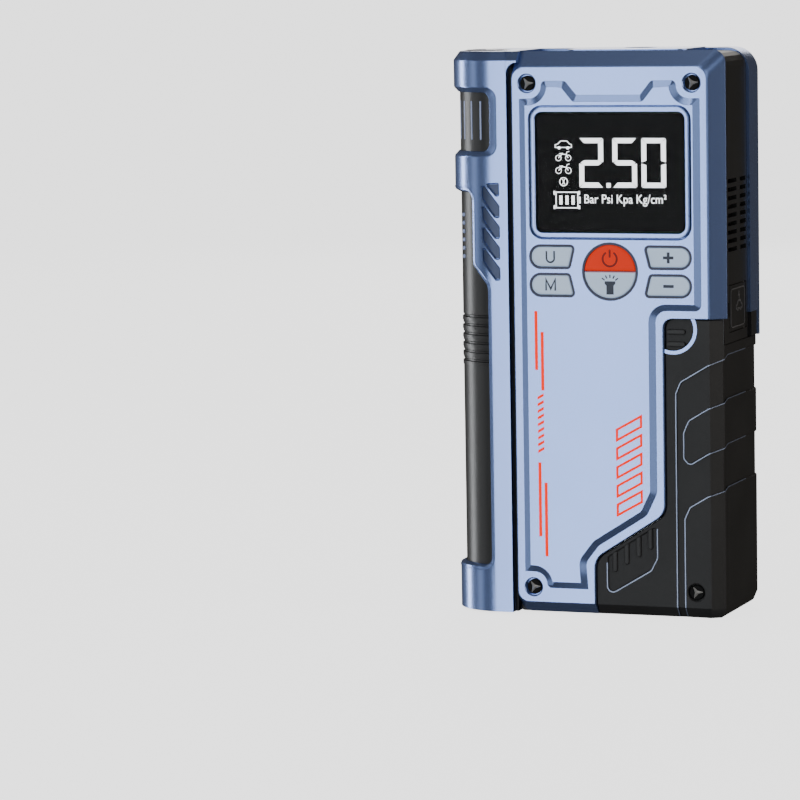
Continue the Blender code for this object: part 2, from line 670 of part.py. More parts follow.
def make_port_cover(rubber, steel):
    """Side cover on a vertical hinge, and its pin."""
    front, bottom, rear, top = PORT
    hinge_x, hinge_y = PORT_HINGE
    inner = CORE_SIDE - 1.6
    section = [(inner, hinge_y), (inner, front + 0.4), (inner + 0.4, front), (CORE_SIDE, front)]
    section += arc(hinge_x, hinge_y, rear - hinge_y, 0, 180, 8)[:-1]
    cover = piece("port_cover", loft([at_z(section, bottom), at_z(section, top)]), rubber,
                  origin=(hinge_x, hinge_y, (bottom + top) / 2))
    combine(cover, rod_z(hinge_x, hinge_y, 0.65, bottom - 1, top + 1, 12), "DIFFERENCE")
    piece("port_hinge_pin", rod_z(hinge_x, hinge_y, 0.4, bottom - 1.9, top + 1.9, 10), steel)


def make_port_block(black, brass, steel):
    """Socket block behind the side cover: two round jump sockets above a small data socket."""
    front, bottom, rear, top = PORT
    face = CORE_SIDE - 2.4
    block = piece("port_block", box(35.0, front + 0.6, bottom + 0.6, face, rear - 0.6, top - 0.6), black)
    socket_r = 3.1
    socket_z = 106.3
    sockets = []
    for i, y in enumerate((-6.4, 2.2)):
        piece(f"jump_contact_{i + 1}", rod_x(y, socket_z, socket_r - 0.4, 36.5, 39.0, 16), brass)
        sockets.append(rod_x(y, socket_z, socket_r, 36.2, face + 1, 20))
    usb = [(-6.6, 97.9, 1.5), (2.4, 97.9, 1.5), (2.4, 101.1, 1.5), (-6.6, 101.1, 1.5)]
    hole = rounded(grown(usb, GAP), 3)
    sockets.append(loft([at_x(hole, 37.6), at_x(hole, face + 1)]))
    cut(block, join(sockets))
    outer = rounded(usb, 3)
    inner = rounded(grown(usb, -0.35), 3)
    rings = [at_x(outer, 38.0), at_x(outer, face), at_x(inner, face), at_x(inner, 38.0)]
    piece("usb_socket", loft(rings, closed=True), steel)
    piece("usb_tongue", box(38.2, -5.3, 99.15, face - 0.9, 1.1, 99.85), black)


# ---------------------------------------------------------------- electronics and cells
BOARD = (-18.0, 62.0, 43.0, 173.0)   # main board: left, bottom, right, top
BOARD_FRONT = -16.6
BOARD_BACK = BOARD_FRONT + 1.6


def make_electronics(board_green, black, blue_wrap):
    """Main board and what it carries."""
    left, bottom, right, top = BOARD
    piece("main_board", box(left, BOARD_FRONT, bottom, right, BOARD_BACK, top), board_green)
    keypad_front = SWITCH_TOP + 0.9
    keypad = piece("keypad_board", box(-19.5, keypad_front, 104.0, 41.0, keypad_front + 1.2, 128.5),
                   board_green)
    switches = []
    for x, z in button_centres().values():
        switches.append(box(x - 2.2, SWITCH_TOP, z - 2.2, x + 2.2, keypad_front + 0.5, z + 2.2))
    add(keypad, join(switches))
    back = BOARD_BACK + GAP
    piece("jump_relay", box(18.0, back, 152.0, 38.0, back + 15.0, 168.0), black)
    piece("board_capacitor", rod_y(8.0, 160.0, 4.4, back, back + 12.0, 16), blue_wrap)
    piece("pressure_sensor", box(-16.0, back, 98.0, -8.0, back + 5.0, 106.0), black)


CELL = (-17.5, 15.0, 41.0, 94.0)      # pouch cell: left, bottom, right, top
CELL_THICK = 7.0
CELL_FRONT = -14.4


def make_battery(foil, black, copper):
    """Four pouch cells stacked front to back in a tray, with strips joining their tabs."""
    left, bottom, right, top = CELL
    for i in range(4):
        front = CELL_FRONT + i * (CELL_THICK + 0.4)
        outline = rounded(rectangle(left, bottom, right, top, 2.0), 2)
        middle = rounded(grown(rectangle(left, bottom, right, top, 2.0), -0.8), 2)
        rings = [at_y(middle, front), at_y(outline, front + 1), at_y(outline, front + CELL_THICK - 1),
                 at_y(middle, front + CELL_THICK)]
        piece(f"battery_cell_{i + 1}", loft(rings), foil)
    back = CELL_FRONT + 4 * (CELL_THICK + 0.4)
    wall = 1.2
    tray = piece("battery_tray", box(left - wall - GAP, CELL_FRONT - 0.2, bottom - wall - GAP,
                                     right + wall + GAP, back + wall, 60.0), black)
    cut(tray, box(left - GAP, CELL_FRONT - 2, bottom - GAP, right + GAP, back, 80.0))
    piece("battery_busbar", box(-10, CELL_FRONT + 0.5, top + GAP, -2, back - 1.2, top + GAP + 0.8), copper)


# ---------------------------------------------------------------- air pump
GEAR_LEFT = 0.4
GEAR_RIGHT = 3.2
WEB_LEFT = -1.4
FRAME_LEFT = 3.7
FRAME_RIGHT = 5.7
MOTOR_LEFT = 6.0
MOTOR_RIGHT = 36.0
FAN_LEFT = 38.2
FAN_RIGHT = 43.4


def make_motor(steel, brass, black):
    """Motor can, and its rotor: shaft, pinion and cooling fan on one axis."""
    y, z = MOTOR
    outer = circle(y, z, 13.0)
    neck = circle(y, z, 4.0)
    bore = circle(y, z, 1.5)
    rings = [at_x(neck, MOTOR_LEFT), at_x(outer, MOTOR_LEFT), at_x(outer, MOTOR_RIGHT),
             at_x(neck, MOTOR_RIGHT), at_x(neck, MOTOR_RIGHT + 1.4), at_x(bore, MOTOR_RIGHT + 1.4),
             at_x(bore, MOTOR_LEFT)]
    piece("motor_body", loft(rings, closed=True), steel)
    origin = (MOTOR_LEFT, y, z)
    piece("motor_shaft", rod_x(y, z, 1.1, GEAR_LEFT - 1, FAN_RIGHT + 0.6, 12), steel, origin)
    teeth = gear_outline(y, z, PINION_TEETH, PINION_R, PINION_R + 0.65 * GEAR_MODULE,
                         PINION_R - 1.0 * GEAR_MODULE)
    pinion = piece("motor_pinion", loft([at_x(teeth, GEAR_LEFT), at_x(teeth, GEAR_RIGHT)]), brass, origin)
    cut(pinion, rod_x(y, z, 1.4, GEAR_LEFT - 1, GEAR_RIGHT + 1, 12))
    blades = gear_outline(y, z, 9, 8.0, 12.0, 4.2)
    fan = piece("cooling_fan", loft([at_x(blades, FAN_LEFT), at_x(blades, FAN_RIGHT)]), black, origin)
    cut(fan, rod_x(y, z, 1.4, FAN_LEFT - 1, FAN_RIGHT + 1, 12))


def make_pump_frame(alloy):
    """Plate between motor and gear, with the gear's axle and a half ring round the cylinder."""
    y, z = MOTOR
    crank_y, crank_z = CRANK
    frame = piece("pump_frame", box(FRAME_LEFT, y - 12, crank_z - 12, FRAME_RIGHT, y + 12, z + 12), alloy)
    cut(frame, rod_x(y, z, 4.8, FRAME_LEFT - 1, FRAME_RIGHT + 1, 20))
    add(frame, rod_x(crank_y, crank_z, 1.9, GEAR_LEFT + GAP, FRAME_LEFT + 1, SMALL_ROUND))
    add(frame, box(PISTON_X, y - 11.5, z + 1, FRAME_LEFT + 1, y + 11.5, z + 9))
    cut(frame, rod_z(PISTON_X, y, CYLINDER_R + GAP, z - 4, z + 14, ROUND))
    cut(frame, rod_x(y, z, 4.8, -8, FRAME_RIGHT + 1, 20))


def make_crank(steel, alloy):
    """Crank gear with its pin, and the connecting rod that hangs on the pin."""
    y, z = CRANK
    origin = (0.0, y, z)
    teeth = gear_outline(y, z, GEAR_TEETH, GEAR_R, GEAR_R + 0.65 * GEAR_MODULE, GEAR_R - 1.0 * GEAR_MODULE)
    gear = piece("crank_gear", loft([at_x(teeth, GEAR_LEFT), at_x(teeth, GEAR_RIGHT)]), steel, origin)
    cut(gear, rod_x(y, z, 2.2, GEAR_LEFT - 1, GEAR_RIGHT + 1, SMALL_ROUND))
    add(gear, rod_x(y, z, 6.0, WEB_LEFT, GEAR_LEFT, 20))
    pin_z = z + THROW
    add(gear, rod_x(y, pin_z, 1.9, PISTON_X - 3.0, WEB_LEFT + 0.5, SMALL_ROUND))
    top = pin_z + ROD_LENGTH
    big, small = 4.4, 2.2
    lean = math.degrees(math.asin((big - small) / ROD_LENGTH))
    outline = arc(y, pin_z, big, 180 - lean, 360 + lean, 14) + arc(y, top, small, lean, 180 - lean, 8)
    rod = piece("connecting_rod", loft([at_x(outline, PISTON_X - 2), at_x(outline, PISTON_X + 2)]), alloy,
                (PISTON_X, y, pin_z))
    cut(rod, rod_x(y, pin_z, 2.2, PISTON_X - 4, PISTON_X + 4, SMALL_ROUND))


def make_piston(alloy, black):
    """Cup-shaped piston, its cylinder and the valve head on top."""
    y = MOTOR[0]
    rod_top = CRANK[1] + THROW + ROD_LENGTH + 2.2
    roof = rod_top + 2 * THROW + 0.5
    crown = roof + 2.2
    skirt = rod_top - 4.4
    profile = [(6.2, roof), (6.2, skirt), (PISTON_R, skirt), (PISTON_R, crown)]
    piece("piston", turned_z(PISTON_X, y, profile, 24), alloy, (PISTON_X, y, crown))
    low = skirt - 2.0
    high = crown + 0.8
    profile = [(CYLINDER_R, low), (CYLINDER_R, high), (BORE_R, high), (BORE_R, low)]
    piece("pump_cylinder", turned_z(PISTON_X, y, profile, 28, hollow=True), alloy)
    head = high + GAP
    profile = [(CYLINDER_R, head), (CYLINDER_R, head + 4), (3.0, head + 4),
               (2.0, head + 8), (1.2, head + 8), (1.2, head)]
    piece("pump_head", turned_z(PISTON_X, y, profile, 24, hollow=True), alloy)
    make_air_pipe(head + 8, black)


def make_air_pipe(start_z, black):
    """Pressure hose from the pump head to the outlet on top."""
    y = MOTOR[0]
    curve = bpy.data.curves.new("air_pipe", "CURVE")
    curve.dimensions = "3D"
    spline = curve.splines.new("POLY")
    first = Vector((PISTON_X, y, start_z + 2 * GAP))
    last = Vector((OUTLET[0], OUTLET[1], 177.4))
    count = 14
    spline.points.add(count)
    for i in range(count + 1):
        t = i / count
        ease = t * t * (3 - 2 * t)
        spot = Vector((first.x + (last.x - first.x) * ease, first.y + (last.y - first.y) * ease,
                       first.z + (last.z - first.z) * t))
        spline.points[i].co = (*(spot * MM), 1.0)
    curve.bevel_depth = 2.0 * MM
    curve.bevel_resolution = 2
    curve.use_fill_caps = True
    pipe = bpy.data.objects.new("air_pipe", curve)
    curve.materials.append(black)
    bpy.context.scene.collection.objects.link(pipe)


def main():
    for obj in list(bpy.data.objects):
        bpy.data.objects.remove(obj, do_unlink=True)
    paint_blue = paint("slate_blue_paint", (0.27, 0.34, 0.50), 0.38, 0.55)
    black = paint("black_plastic", (0.018, 0.018, 0.02), 0.5)
    rubber = paint("black_rubber", (0.014, 0.014, 0.015), 0.72)
    light_plastic = paint("light_button_plastic", (0.52, 0.56, 0.68), 0.45)
    orange_plastic = paint("orange_button_plastic", (0.68, 0.06, 0.02), 0.45)
    glass = paint("display_glass", (0.008, 0.008, 0.009), 0.08, alpha=0.6)
    lens = paint("clear_lens", (0.9, 0.9, 0.86), 0.05, alpha=0.4)
    dark = paint("display_black", (0.004, 0.004, 0.005), 0.3)
    steel = paint("steel", (0.5, 0.5, 0.5), 0.35, 1.0)
    black_steel = paint("black_steel", (0.03, 0.03, 0.03), 0.4, 0.8)
    chrome = paint("reflector_chrome", (0.85, 0.85, 0.85), 0.08, 1.0)
    alloy = paint("cast_alloy", (0.6, 0.6, 0.6), 0.45, 1.0)
    brass = paint("brass", (0.72, 0.5, 0.2), 0.3, 1.0)
    copper = paint("copper_strip", (0.75, 0.4, 0.25), 0.35, 1.0)
    lamp = paint("led_white", (0.9, 0.85, 0.6), 0.4)
    board_green = paint("board_green", (0.02, 0.13, 0.06), 0.5)
    blue_wrap = paint("capacitor_wrap", (0.02, 0.03, 0.12), 0.4)
    foil = paint("cell_foil", (0.62, 0.64, 0.66), 0.4, 0.6)

    make_front_cover(paint_blue)
    make_display_bezel(paint_blue)
    make_display(glass, dark)
    make_buttons(light_plastic, orange_plastic)
    make_cover_screws(black_steel)
    make_column_shell(paint_blue)
    make_torch(black, chrome, lamp, lens)
    make_core_housing(black)
    make_sole(rubber)
    make_side_grip(rubber)
    make_rear_cover(paint_blue)
    make_rear_screws(black_steel)
    make_outlet(paint_blue, brass)
    make_port_cover(rubber, steel)
    make_port_block(black, brass, steel)
    make_electronics(board_green, black, blue_wrap)
    make_battery(foil, black, copper)
    make_motor(steel, brass, black)
    make_pump_frame(alloy)
    make_crank(steel, alloy)
    make_piston(alloy, black)
    bpy.context.view_layer.update()


main()
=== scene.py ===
"""Looks of the jump starter pack: detailed shells, display, prints, materials, light and camera.

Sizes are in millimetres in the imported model's own frame (+Z up, display towards -Y) and become
metres when a mesh is made. Detail on a curved wall is carved in a flat strip first, and the strip
is then bent round the column or the grip, so that windows, grooves and pads follow the wall.
"""
import json
import math

import bmesh
import bpy
from mathutils import Matrix, Vector


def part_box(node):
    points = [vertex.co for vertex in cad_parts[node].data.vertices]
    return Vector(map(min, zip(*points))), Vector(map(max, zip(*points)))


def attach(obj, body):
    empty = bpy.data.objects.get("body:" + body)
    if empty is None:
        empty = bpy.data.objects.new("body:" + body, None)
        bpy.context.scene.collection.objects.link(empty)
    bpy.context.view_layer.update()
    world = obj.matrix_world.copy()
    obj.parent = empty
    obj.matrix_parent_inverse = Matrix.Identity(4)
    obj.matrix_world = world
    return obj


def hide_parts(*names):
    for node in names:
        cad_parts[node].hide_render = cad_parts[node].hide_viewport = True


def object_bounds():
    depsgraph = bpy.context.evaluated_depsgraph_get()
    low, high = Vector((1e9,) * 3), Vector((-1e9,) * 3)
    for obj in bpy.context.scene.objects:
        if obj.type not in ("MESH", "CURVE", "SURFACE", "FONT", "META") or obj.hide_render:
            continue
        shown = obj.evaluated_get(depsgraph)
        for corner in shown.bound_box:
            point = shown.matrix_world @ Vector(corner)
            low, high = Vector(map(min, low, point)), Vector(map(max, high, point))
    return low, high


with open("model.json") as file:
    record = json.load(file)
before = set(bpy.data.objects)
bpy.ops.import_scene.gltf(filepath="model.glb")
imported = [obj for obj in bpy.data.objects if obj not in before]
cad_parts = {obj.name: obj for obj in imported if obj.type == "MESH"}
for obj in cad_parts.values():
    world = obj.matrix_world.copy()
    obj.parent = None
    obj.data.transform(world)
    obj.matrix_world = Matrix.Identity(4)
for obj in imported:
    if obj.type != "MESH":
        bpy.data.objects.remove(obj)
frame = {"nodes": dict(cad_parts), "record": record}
cad_bounds = [[float(v) for v in corner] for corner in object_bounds()]

MM = 0.001
SHARP_ANGLE = 32                         # edges bent by more degrees than this stay sharp
MATERIALS = {}


# ---------------------------------------------------------------- places read from the frame
def node_box(name):
    """Low and high corner of a CAD node in millimetres."""
    low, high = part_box(name)
    return Vector(low) / MM, Vector(high) / MM


def node_middle(name):
    """Middle of a CAD node seen from the front, as x and z."""
    low, high = node_box(name)
    return (low.x + high.x) / 2, (low.z + high.z) / 2


BOX_LOW = Vector(cad_bounds[0]) / MM
BOX_HIGH = Vector(cad_bounds[1]) / MM
COVER_LOW, COVER_HIGH = node_box("front_cover")
COLUMN_HIGH = node_box("column_shell")[1]
GRIP_LOW, GRIP_HIGH = node_box("side_grip")
REAR_LOW, REAR_HIGH = node_box("rear_cover")
LENS_LOW, LENS_HIGH = node_box("display_lens")
PORT_LOW, PORT_HIGH = node_box("port_cover")

PANEL_FACE = COVER_LOW.y                 # raised middle of the front cover
FRAME_FACE = PANEL_FACE + 0.9            # sunken border with the screws
SKIRT_END = COVER_HIGH.y                 # rear edge of the front cover
BODY_FLOOR = COVER_LOW.z
BODY_TOP = COVER_HIGH.z
PANEL_LEFT = COVER_LOW.x
PANEL_RIGHT = 43.8
PANEL_STEP = 28.1                        # where the cover ends beside the grip
PANEL_FOOT = 3.5                         # where the cover ends beside the grip's lower pocket
PANEL_TOP = BODY_TOP - 5.2
PANEL_BOTTOM = BODY_FLOOR + 3.5
SHOULDER = 101.0
DISPLAY = (LENS_LOW.x, LENS_LOW.z, LENS_HIGH.x, LENS_HIGH.z)
WINDOW_RADIUS = 2.2
BEZEL = 2.0
DIAL_X, DIAL_Z, DIAL_R = 10.1, 116.6, 8.9
BUTTON_FACE = BOX_LOW.y + 0.06
BUTTON_BACK = PANEL_FACE + 3.3
FLANGE_BACK = BUTTON_BACK + 0.8
COVER_SCREWS = ("cover_screw_1", "cover_screw_2", "cover_screw_3")
DIGIT_FOOT = 144.4
GLOW_FACE = LENS_HIGH.y + 0.24           # front of the glowing marks behind the window
GLOW_DEEP = 0.05

COLUMN_X = -31.0                         # axis of the half-round column
COLUMN_Y = -7.0
COLUMN_R = COLUMN_X - BOX_LOW.x
COLUMN_WALL = 1.7
STRIP_RIGHT = -25.4                      # right edge of the column's flat front strip
COLUMN_SHOULDER = BODY_TOP - 3.0         # where the chamfer of the column's top starts
BARREL_R = 16.0
BARREL_WALL = 1.8

GRIP_WALL = 1.9
GRIP_LEFT = PANEL_FOOT + 0.3
GRIP_BEND_Y = -19.3                      # where the grip's front chamfer meets its side
GRIP_SIDE_TOP = 92.0
GRIP_TUCK = (BODY_FLOOR + 3.6, 2.9, 1.5)    # height and inward leans of the chamfer at its foot
GRIP_POCKET = (31.0, 97.5)               # middle of the round pocket at the top


# ---------------------------------------------------------------- outlines
def arc(cx, cy, radius, start, end, steps):
    """Points on an arc, both ends included, angles in degrees."""
    points = []
    for i in range(steps + 1):
        angle = math.radians(start + (end - start) * i / steps)
        points.append((cx + radius * math.cos(angle), cy + radius * math.sin(angle)))
    return points


def circle(cx, cy, radius, sides=32):
    return arc(cx, cy, radius, 0, 360, sides)[:-1]


def rectangle(u0, v0, u1, v1, radius=0.0):
    return [(u0, v0, radius), (u1, v0, radius), (u1, v1, radius), (u0, v1, radius)]


def moved(points, u, v):
    return [(a + u, b + v) for a, b in points]


def turn_at(corners, i):
    """Unit directions into and out of corner i, and the signed turn between them."""
    before = Vector(corners[i - 1][:2])
    here = Vector(corners[i][:2])
    after = Vector(corners[(i + 1) % len(corners)][:2])
    into = (here - before).normalized()
    out = (after - here).normalized()
    return here, into, out, math.atan2(into.cross(out), into.dot(out))


def fillet(here, into, turn, radius, steps):
    """Arc that takes the place of a corner."""
    first = here - into * (radius * math.tan(abs(turn) / 2))
    centre = first + Vector((-into.y, into.x)) * radius * math.copysign(1.0, turn)
    start = math.degrees(math.atan2(first.y - centre.y, first.x - centre.x))
    return arc(centre.x, centre.y, radius, start, start + math.degrees(turn), steps)


def rounded(corners, steps=6):
    """Outline whose corners (u, v, radius) are rounded by arcs."""
    points = []
    for i, corner in enumerate(corners):
        here, into, _, turn = turn_at(corners, i)
        if corner[2] < 0.01 or abs(turn) < 0.01:
            points.append(tuple(here))
        else:
            points += fillet(here, into, turn, corner[2], steps)
    return points


def open_rounded(points, radius, steps=6):
    """Open line whose inner corners are rounded as far as their shorter side allows."""
    line = [points[0]]
    for i in range(1, len(points) - 1):
        here, into, _, turn = turn_at(points, i)
        if abs(turn) < 0.02:
            line.append(tuple(here))
            continue
        shorter = min((Vector(points[k]) - here).length for k in (i - 1, i + 1))
        limit = 0.45 * shorter / math.tan(abs(turn) / 2)
        line += fillet(here, into, turn, min(radius, limit), steps)
    return line + [points[-1]]


def grown(corners, amount):
    """Anticlockwise corners moved outwards by an amount, their radii kept concentric."""
    result = []
    for i, corner in enumerate(corners):
        here, into, out, turn = turn_at(corners, i)
        normal_in = Vector((into.y, -into.x))
        normal_out = Vector((out.y, -out.x))
        shift = (normal_in + normal_out) * (amount / max(0.05, 1 + normal_in.dot(normal_out)))
        radius = corner[2] + (amount if turn > 0 else -amount)
        result.append((*(here + shift), max(radius, 0.02) if corner[2] else 0.0))
    return result


def anticlockwise(corners):
    """The same corners, turned round if they run clockwise."""
    area = 0.0
    for i, corner in enumerate(corners):
        before = corners[i - 1]
        area += before[0] * corner[1] - corner[0] * before[1]
    return corners if area > 0 else corners[::-1]


def ribbon(points, width, closed=False):
    """Left and right side of a stroke of even width along a line."""
    line = [Vector(p) for p in points]
    ways = [(b - a).normalized() for a, b in zip(line, line[1:] + line[:1])]
    left, right = [], []
    for i, here in enumerate(line):
        into = ways[i - 1] if i or closed else ways[0]
        out = ways[i] if i < len(line) - 1 or closed else into
        normal = Vector((-(into + out).y, (into + out).x)).normalized()
        reach = width / 2 / max(0.35, normal.dot(Vector((-into.y, into.x))))
        left.append(tuple(here + normal * reach))
        right.append(tuple(here - normal * reach))
    return left, right


def at_x(outline, x):
    return [(x, u, v) for u, v in outline]


def at_y(outline, y):
    return [(u, y, v) for u, v in outline]


def at_z(outline, z):
    return [(u, v, z) for u, v in outline]


# ---------------------------------------------------------------- mesh building
def loft(rings, closed=False):
    """Mesh through rings of equally many points, capped at its ends unless closed like a tube."""
    bm = bmesh.new()
    loops = [[bm.verts.new(Vector(p)) for p in ring] for ring in rings]
    count = len(loops[0])
    pairs = list(zip(loops, loops[1:]))
    if closed:
        pairs.append((loops[-1], loops[0]))
    for a, b in pairs:
        for i in range(count):
            j = (i + 1) % count
            bm.faces.new((a[i], a[j], b[j], b[i]))
    if not closed:
        bm.faces.new(loops[0])
        bm.faces.new(reversed(loops[-1]))
    bmesh.ops.recalc_face_normals(bm, faces=bm.faces)
    return bm


def box(x0, y0, z0, x1, y1, z1):
    outline = [corner[:2] for corner in rectangle(x0, y0, x1, y1)]
    return loft([at_z(outline, z0), at_z(outline, z1)])


def plate(outline, near, far, at=at_y):
    """Flat plate with a given outline, across Y unless told otherwise."""
    return loft([at(outline, near), at(outline, far)])


def tile(x, z, width, height, near, far):
    return plate([corner[:2] for corner in rectangle(x, z, x + width, z + height)], near, far)


def stroke(points, width, near, far, closed=False, at=at_y):
    """Thin raised stroke along a line."""
    left, right = ribbon(points, width, closed)
    if closed:
        return loft([at(left, near), at(right, near), at(right, far), at(left, far)], closed=True)
    return plate(left + right[::-1], near, far, at)


def layers(corners, profile, steps=6):
    """Rounded outlines across Y, each moved outwards by the (reach, y) of a profile."""
    return [at_y(rounded(grown(corners, reach), steps), y) for reach, y in profile]


def turned(x, z, profile, sides=32):
    """Round shape about an axis along Y, from (radius, y) pairs."""
    return loft([at_y(circle(x, z, radius, sides), y) for radius, y in profile])


def join(meshes):
    """One bmesh from several, each of which is used up."""
    whole = bmesh.new()
    for bm in meshes:
        mesh = bpy.data.meshes.new("joined")
        bm.to_mesh(mesh)
        bm.free()
        whole.from_mesh(mesh)
        bpy.data.meshes.remove(mesh)
    return whole


def temporary(bm):
    mesh = bpy.data.meshes.new("temporary")
    bm.to_mesh(mesh)
    bm.free()
    obj = bpy.data.objects.new("temporary", mesh)
    bpy.context.scene.collection.objects.link(obj)
    return obj


def carve(bm, tools, operation="DIFFERENCE"):
    """Boolean of a bmesh with a list of others, done at once and returned as a new bmesh."""
    target = temporary(bm)
    helpers = [temporary(tool) for tool in tools]
    for helper in helpers:
        modifier = target.modifiers.new("carve", "BOOLEAN")
        modifier.operation = operation
        modifier.solver = "EXACT"
        modifier.object = helper
    bpy.context.view_layer.update()
    evaluated = target.evaluated_get(bpy.context.evaluated_depsgraph_get())
    result = bmesh.new()
    result.from_mesh(evaluated.to_mesh())
    for obj in [target] + helpers:
        mesh = obj.data
        bpy.data.objects.remove(obj)
        bpy.data.meshes.remove(mesh)
    bmesh.ops.remove_doubles(result, verts=result.verts, dist=0.0005)
    return result


def recess(corners, face, depth, flare=0.25, steps=5, out=-1):
    """Cutter for a recess in a face across Y, its mouth flared so that the edge is bevelled."""
    profile = [(flare + 1.0, face + out), (flare, face), (0.0, face - out * flare),
               (0.0, face - out * depth)]
    return loft(layers(corners, profile, steps))


def screw_well(x, z, face, steps, inwards=1):
    """Cutter for a flared well and the hole in its floor, from (radius, depth below the face)."""
    return turned(x, z, [(radius, face + inwards * depth) for radius, depth in steps], 40)


def bisect(bm, point, normal):
    geometry = bm.verts[:] + bm.edges[:] + bm.faces[:]
    bmesh.ops.bisect_plane(bm, geom=geometry, dist=1e-5, plane_co=point, plane_no=normal)


class Wrap:
    """A wall seen from above as a chain of points; bends a flat strip (s, depth, z) round it."""

    def __init__(self, points, side):
        """side is 1 when the inner face is on the right of the path, -1 when on its left."""
        self.points = [Vector(p) for p in points]
        self.side = side
        self.marks = [0.0]
        for a, b in zip(self.points, self.points[1:]):
            self.marks.append(self.marks[-1] + (b - a).length)
        self.length = self.marks[-1]

    def inward(self, i):
        """Direction along stretch i of the wall, and the one that points into it."""
        along = (self.points[i + 1] - self.points[i]).normalized()
        return along, Vector((along.y, -along.x)) * self.side

    def at(self, s, depth):
        """Point at distance s along the wall and a depth below its outer face."""
        last = len(self.points) - 2
        i = 0
        while i < last and s > self.marks[i + 1] + 1e-4:
            i += 1
        along, inward = self.inward(i)
        if i < last and abs(s - self.marks[i + 1]) < 2e-4:
            mitre = (inward + self.inward(i + 1)[1]).normalized()
            return self.points[i + 1] + mitre / max(0.5, mitre.dot(inward)) * depth
        return self.points[i] + along * (s - self.marks[i]) + inward * depth

    def find(self, x, y):
        """Distance along the wall of the point nearest to (x, y)."""
        spot = Vector((x, y))
        gaps = []
        for i, (a, b) in enumerate(zip(self.points, self.points[1:])):
            along = b - a
            t = min(1.0, max(0.0, (spot - a).dot(along) / along.length_squared))
            gaps.append(((a + along * t - spot).length, self.marks[i] + along.length * t))
        return min(gaps)[1]

    def bend(self, bm, tuck=None):
        """Cuts a flat bmesh at every mark and lays it round the wall.

        tuck is (z, front lean, side lean): below z the wall leans inwards, as a chamfered foot,
        and the lean changes from one to the other over a stretch at the first mark.
        """
        stretch = 12.0
        if tuck:
            bisect(bm, (0, 0, tuck[0]), (0, 0, 1))
        for mark in self.marks[1:-1]:
            bisect(bm, (mark, 0, 0), (1, 0, 0))
        for vert in bm.verts:
            depth = vert.co.y
            if tuck and vert.co.z < tuck[0]:
                lean = (tuck[0] - vert.co.z) / (tuck[0] - BODY_FLOOR)
                share = min(1.0, max(0.0, (vert.co.x - self.marks[1]) / stretch + 0.5))
                depth += lean * (tuck[1] + (tuck[2] - tuck[1]) * share)
            spot = self.at(vert.co.x, depth)
            vert.co = Vector((spot.x, spot.y, vert.co.z))
        bmesh.ops.recalc_face_normals(bm, faces=bm.faces)
        return bm


def flat_weighted(obj):
    """The object's mesh with normals that keep its large faces flat and bend only its bevels."""
    modifier = obj.modifiers.new("weighted", "WEIGHTED_NORMAL")
    modifier.mode = "FACE_AREA"
    modifier.weight = 80
    modifier.keep_sharp = True
    bpy.context.view_layer.update()
    evaluated = obj.evaluated_get(bpy.context.evaluated_depsgraph_get())
    mesh = bpy.data.meshes.new_from_object(evaluated)
    obj.modifiers.clear()
    return mesh


def show(name, bm, slot, *replaced, finish=None, body="housing"):
    """Finished piece: metres, soft shading, material, and its place in the moving frame."""
    for vert in bm.verts:
        vert.co *= MM
    mesh = bpy.data.meshes.new(name)
    bm.to_mesh(mesh)
    bm.free()
    mesh.shade_smooth()
    mesh.set_sharp_from_angle(angle=math.radians(SHARP_ANGLE))
    mesh.materials.append(MATERIALS[finish or slot])
    obj = bpy.data.objects.new(name, mesh)
    bpy.context.scene.collection.objects.link(obj)
    obj.data = flat_weighted(obj)
    bpy.data.meshes.remove(mesh)
    obj.data.name = name
    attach(obj, body)
    if replaced:
        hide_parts(*replaced)


# ---------------------------------------------------------------- materials
def add_node(tree, kind, values=None, wires=None):
    """New shader node with its socket values set and its inputs wired to other outputs."""
    node = tree.nodes.new("ShaderNode" + kind)
    for socket, value in (values or {}).items():
        node.inputs[socket].default_value = value
    for socket, source in (wires or {}).items():
        tree.links.new(source, node.inputs[socket])
    return node


def surface(name, colour, second, roughness, spread, grain, bump, metallic=0.0,
            stretch=(1, 1, 1), sockets=None):
    """Principled material with fine noise in its colour, gloss and relief.

    grain is the size of the finest relief in millimetres and bump its height in micrometres.
    """
    material = bpy.data.materials.new(name)
    material.use_nodes = True
    tree = material.node_tree
    shader = tree.nodes["Principled BSDF"]
    for socket, value in {"Metallic": metallic, **(sockets or {})}.items():
        shader.inputs[socket].default_value = value
    place = add_node(tree, "TexCoord")
    spot = add_node(tree, "Mapping", {"Scale": stretch}, {"Vector": place.outputs["Object"]})
    vector = {"Vector": spot.outputs["Vector"]}
    broad = add_node(tree, "TexNoise", {"Scale": 45.0, "Detail": 5.0}, vector)
    fine = add_node(tree, "TexNoise", {"Scale": 1.0 / (grain * MM), "Detail": 3.0}, vector)

    share = add_node(tree, "MapRange", {"From Min": 0.35, "From Max": 0.65},
                     {"Value": broad.outputs["Fac"]})
    blend = tree.nodes.new("ShaderNodeMix")
    blend.data_type = "RGBA"
    blend.inputs["A"].default_value = (*colour, 1.0)
    blend.inputs["B"].default_value = (*second, 1.0)
    tree.links.new(share.outputs["Result"], blend.inputs["Factor"])
    tree.links.new(blend.outputs["Result"], shader.inputs["Base Color"])

    gloss = add_node(tree, "MapRange", {"From Min": 0.3, "From Max": 0.7,
                                        "To Min": roughness - spread, "To Max": roughness + spread},
                     {"Value": fine.outputs["Fac"]})
    tree.links.new(gloss.outputs["Result"], shader.inputs["Roughness"])
    relief = add_node(tree, "Bump", {"Distance": bump * 1e-6, "Strength": 1.0},
                      {"Height": fine.outputs["Fac"]})
    tree.links.new(relief.outputs["Normal"], shader.inputs["Normal"])
    return material


def shine(level):
    return {"Specular IOR Level": level}


def glow(red, green, blue, strength):
    return {"Emission Color": (red, green, blue, 1.0), "Emission Strength": strength}


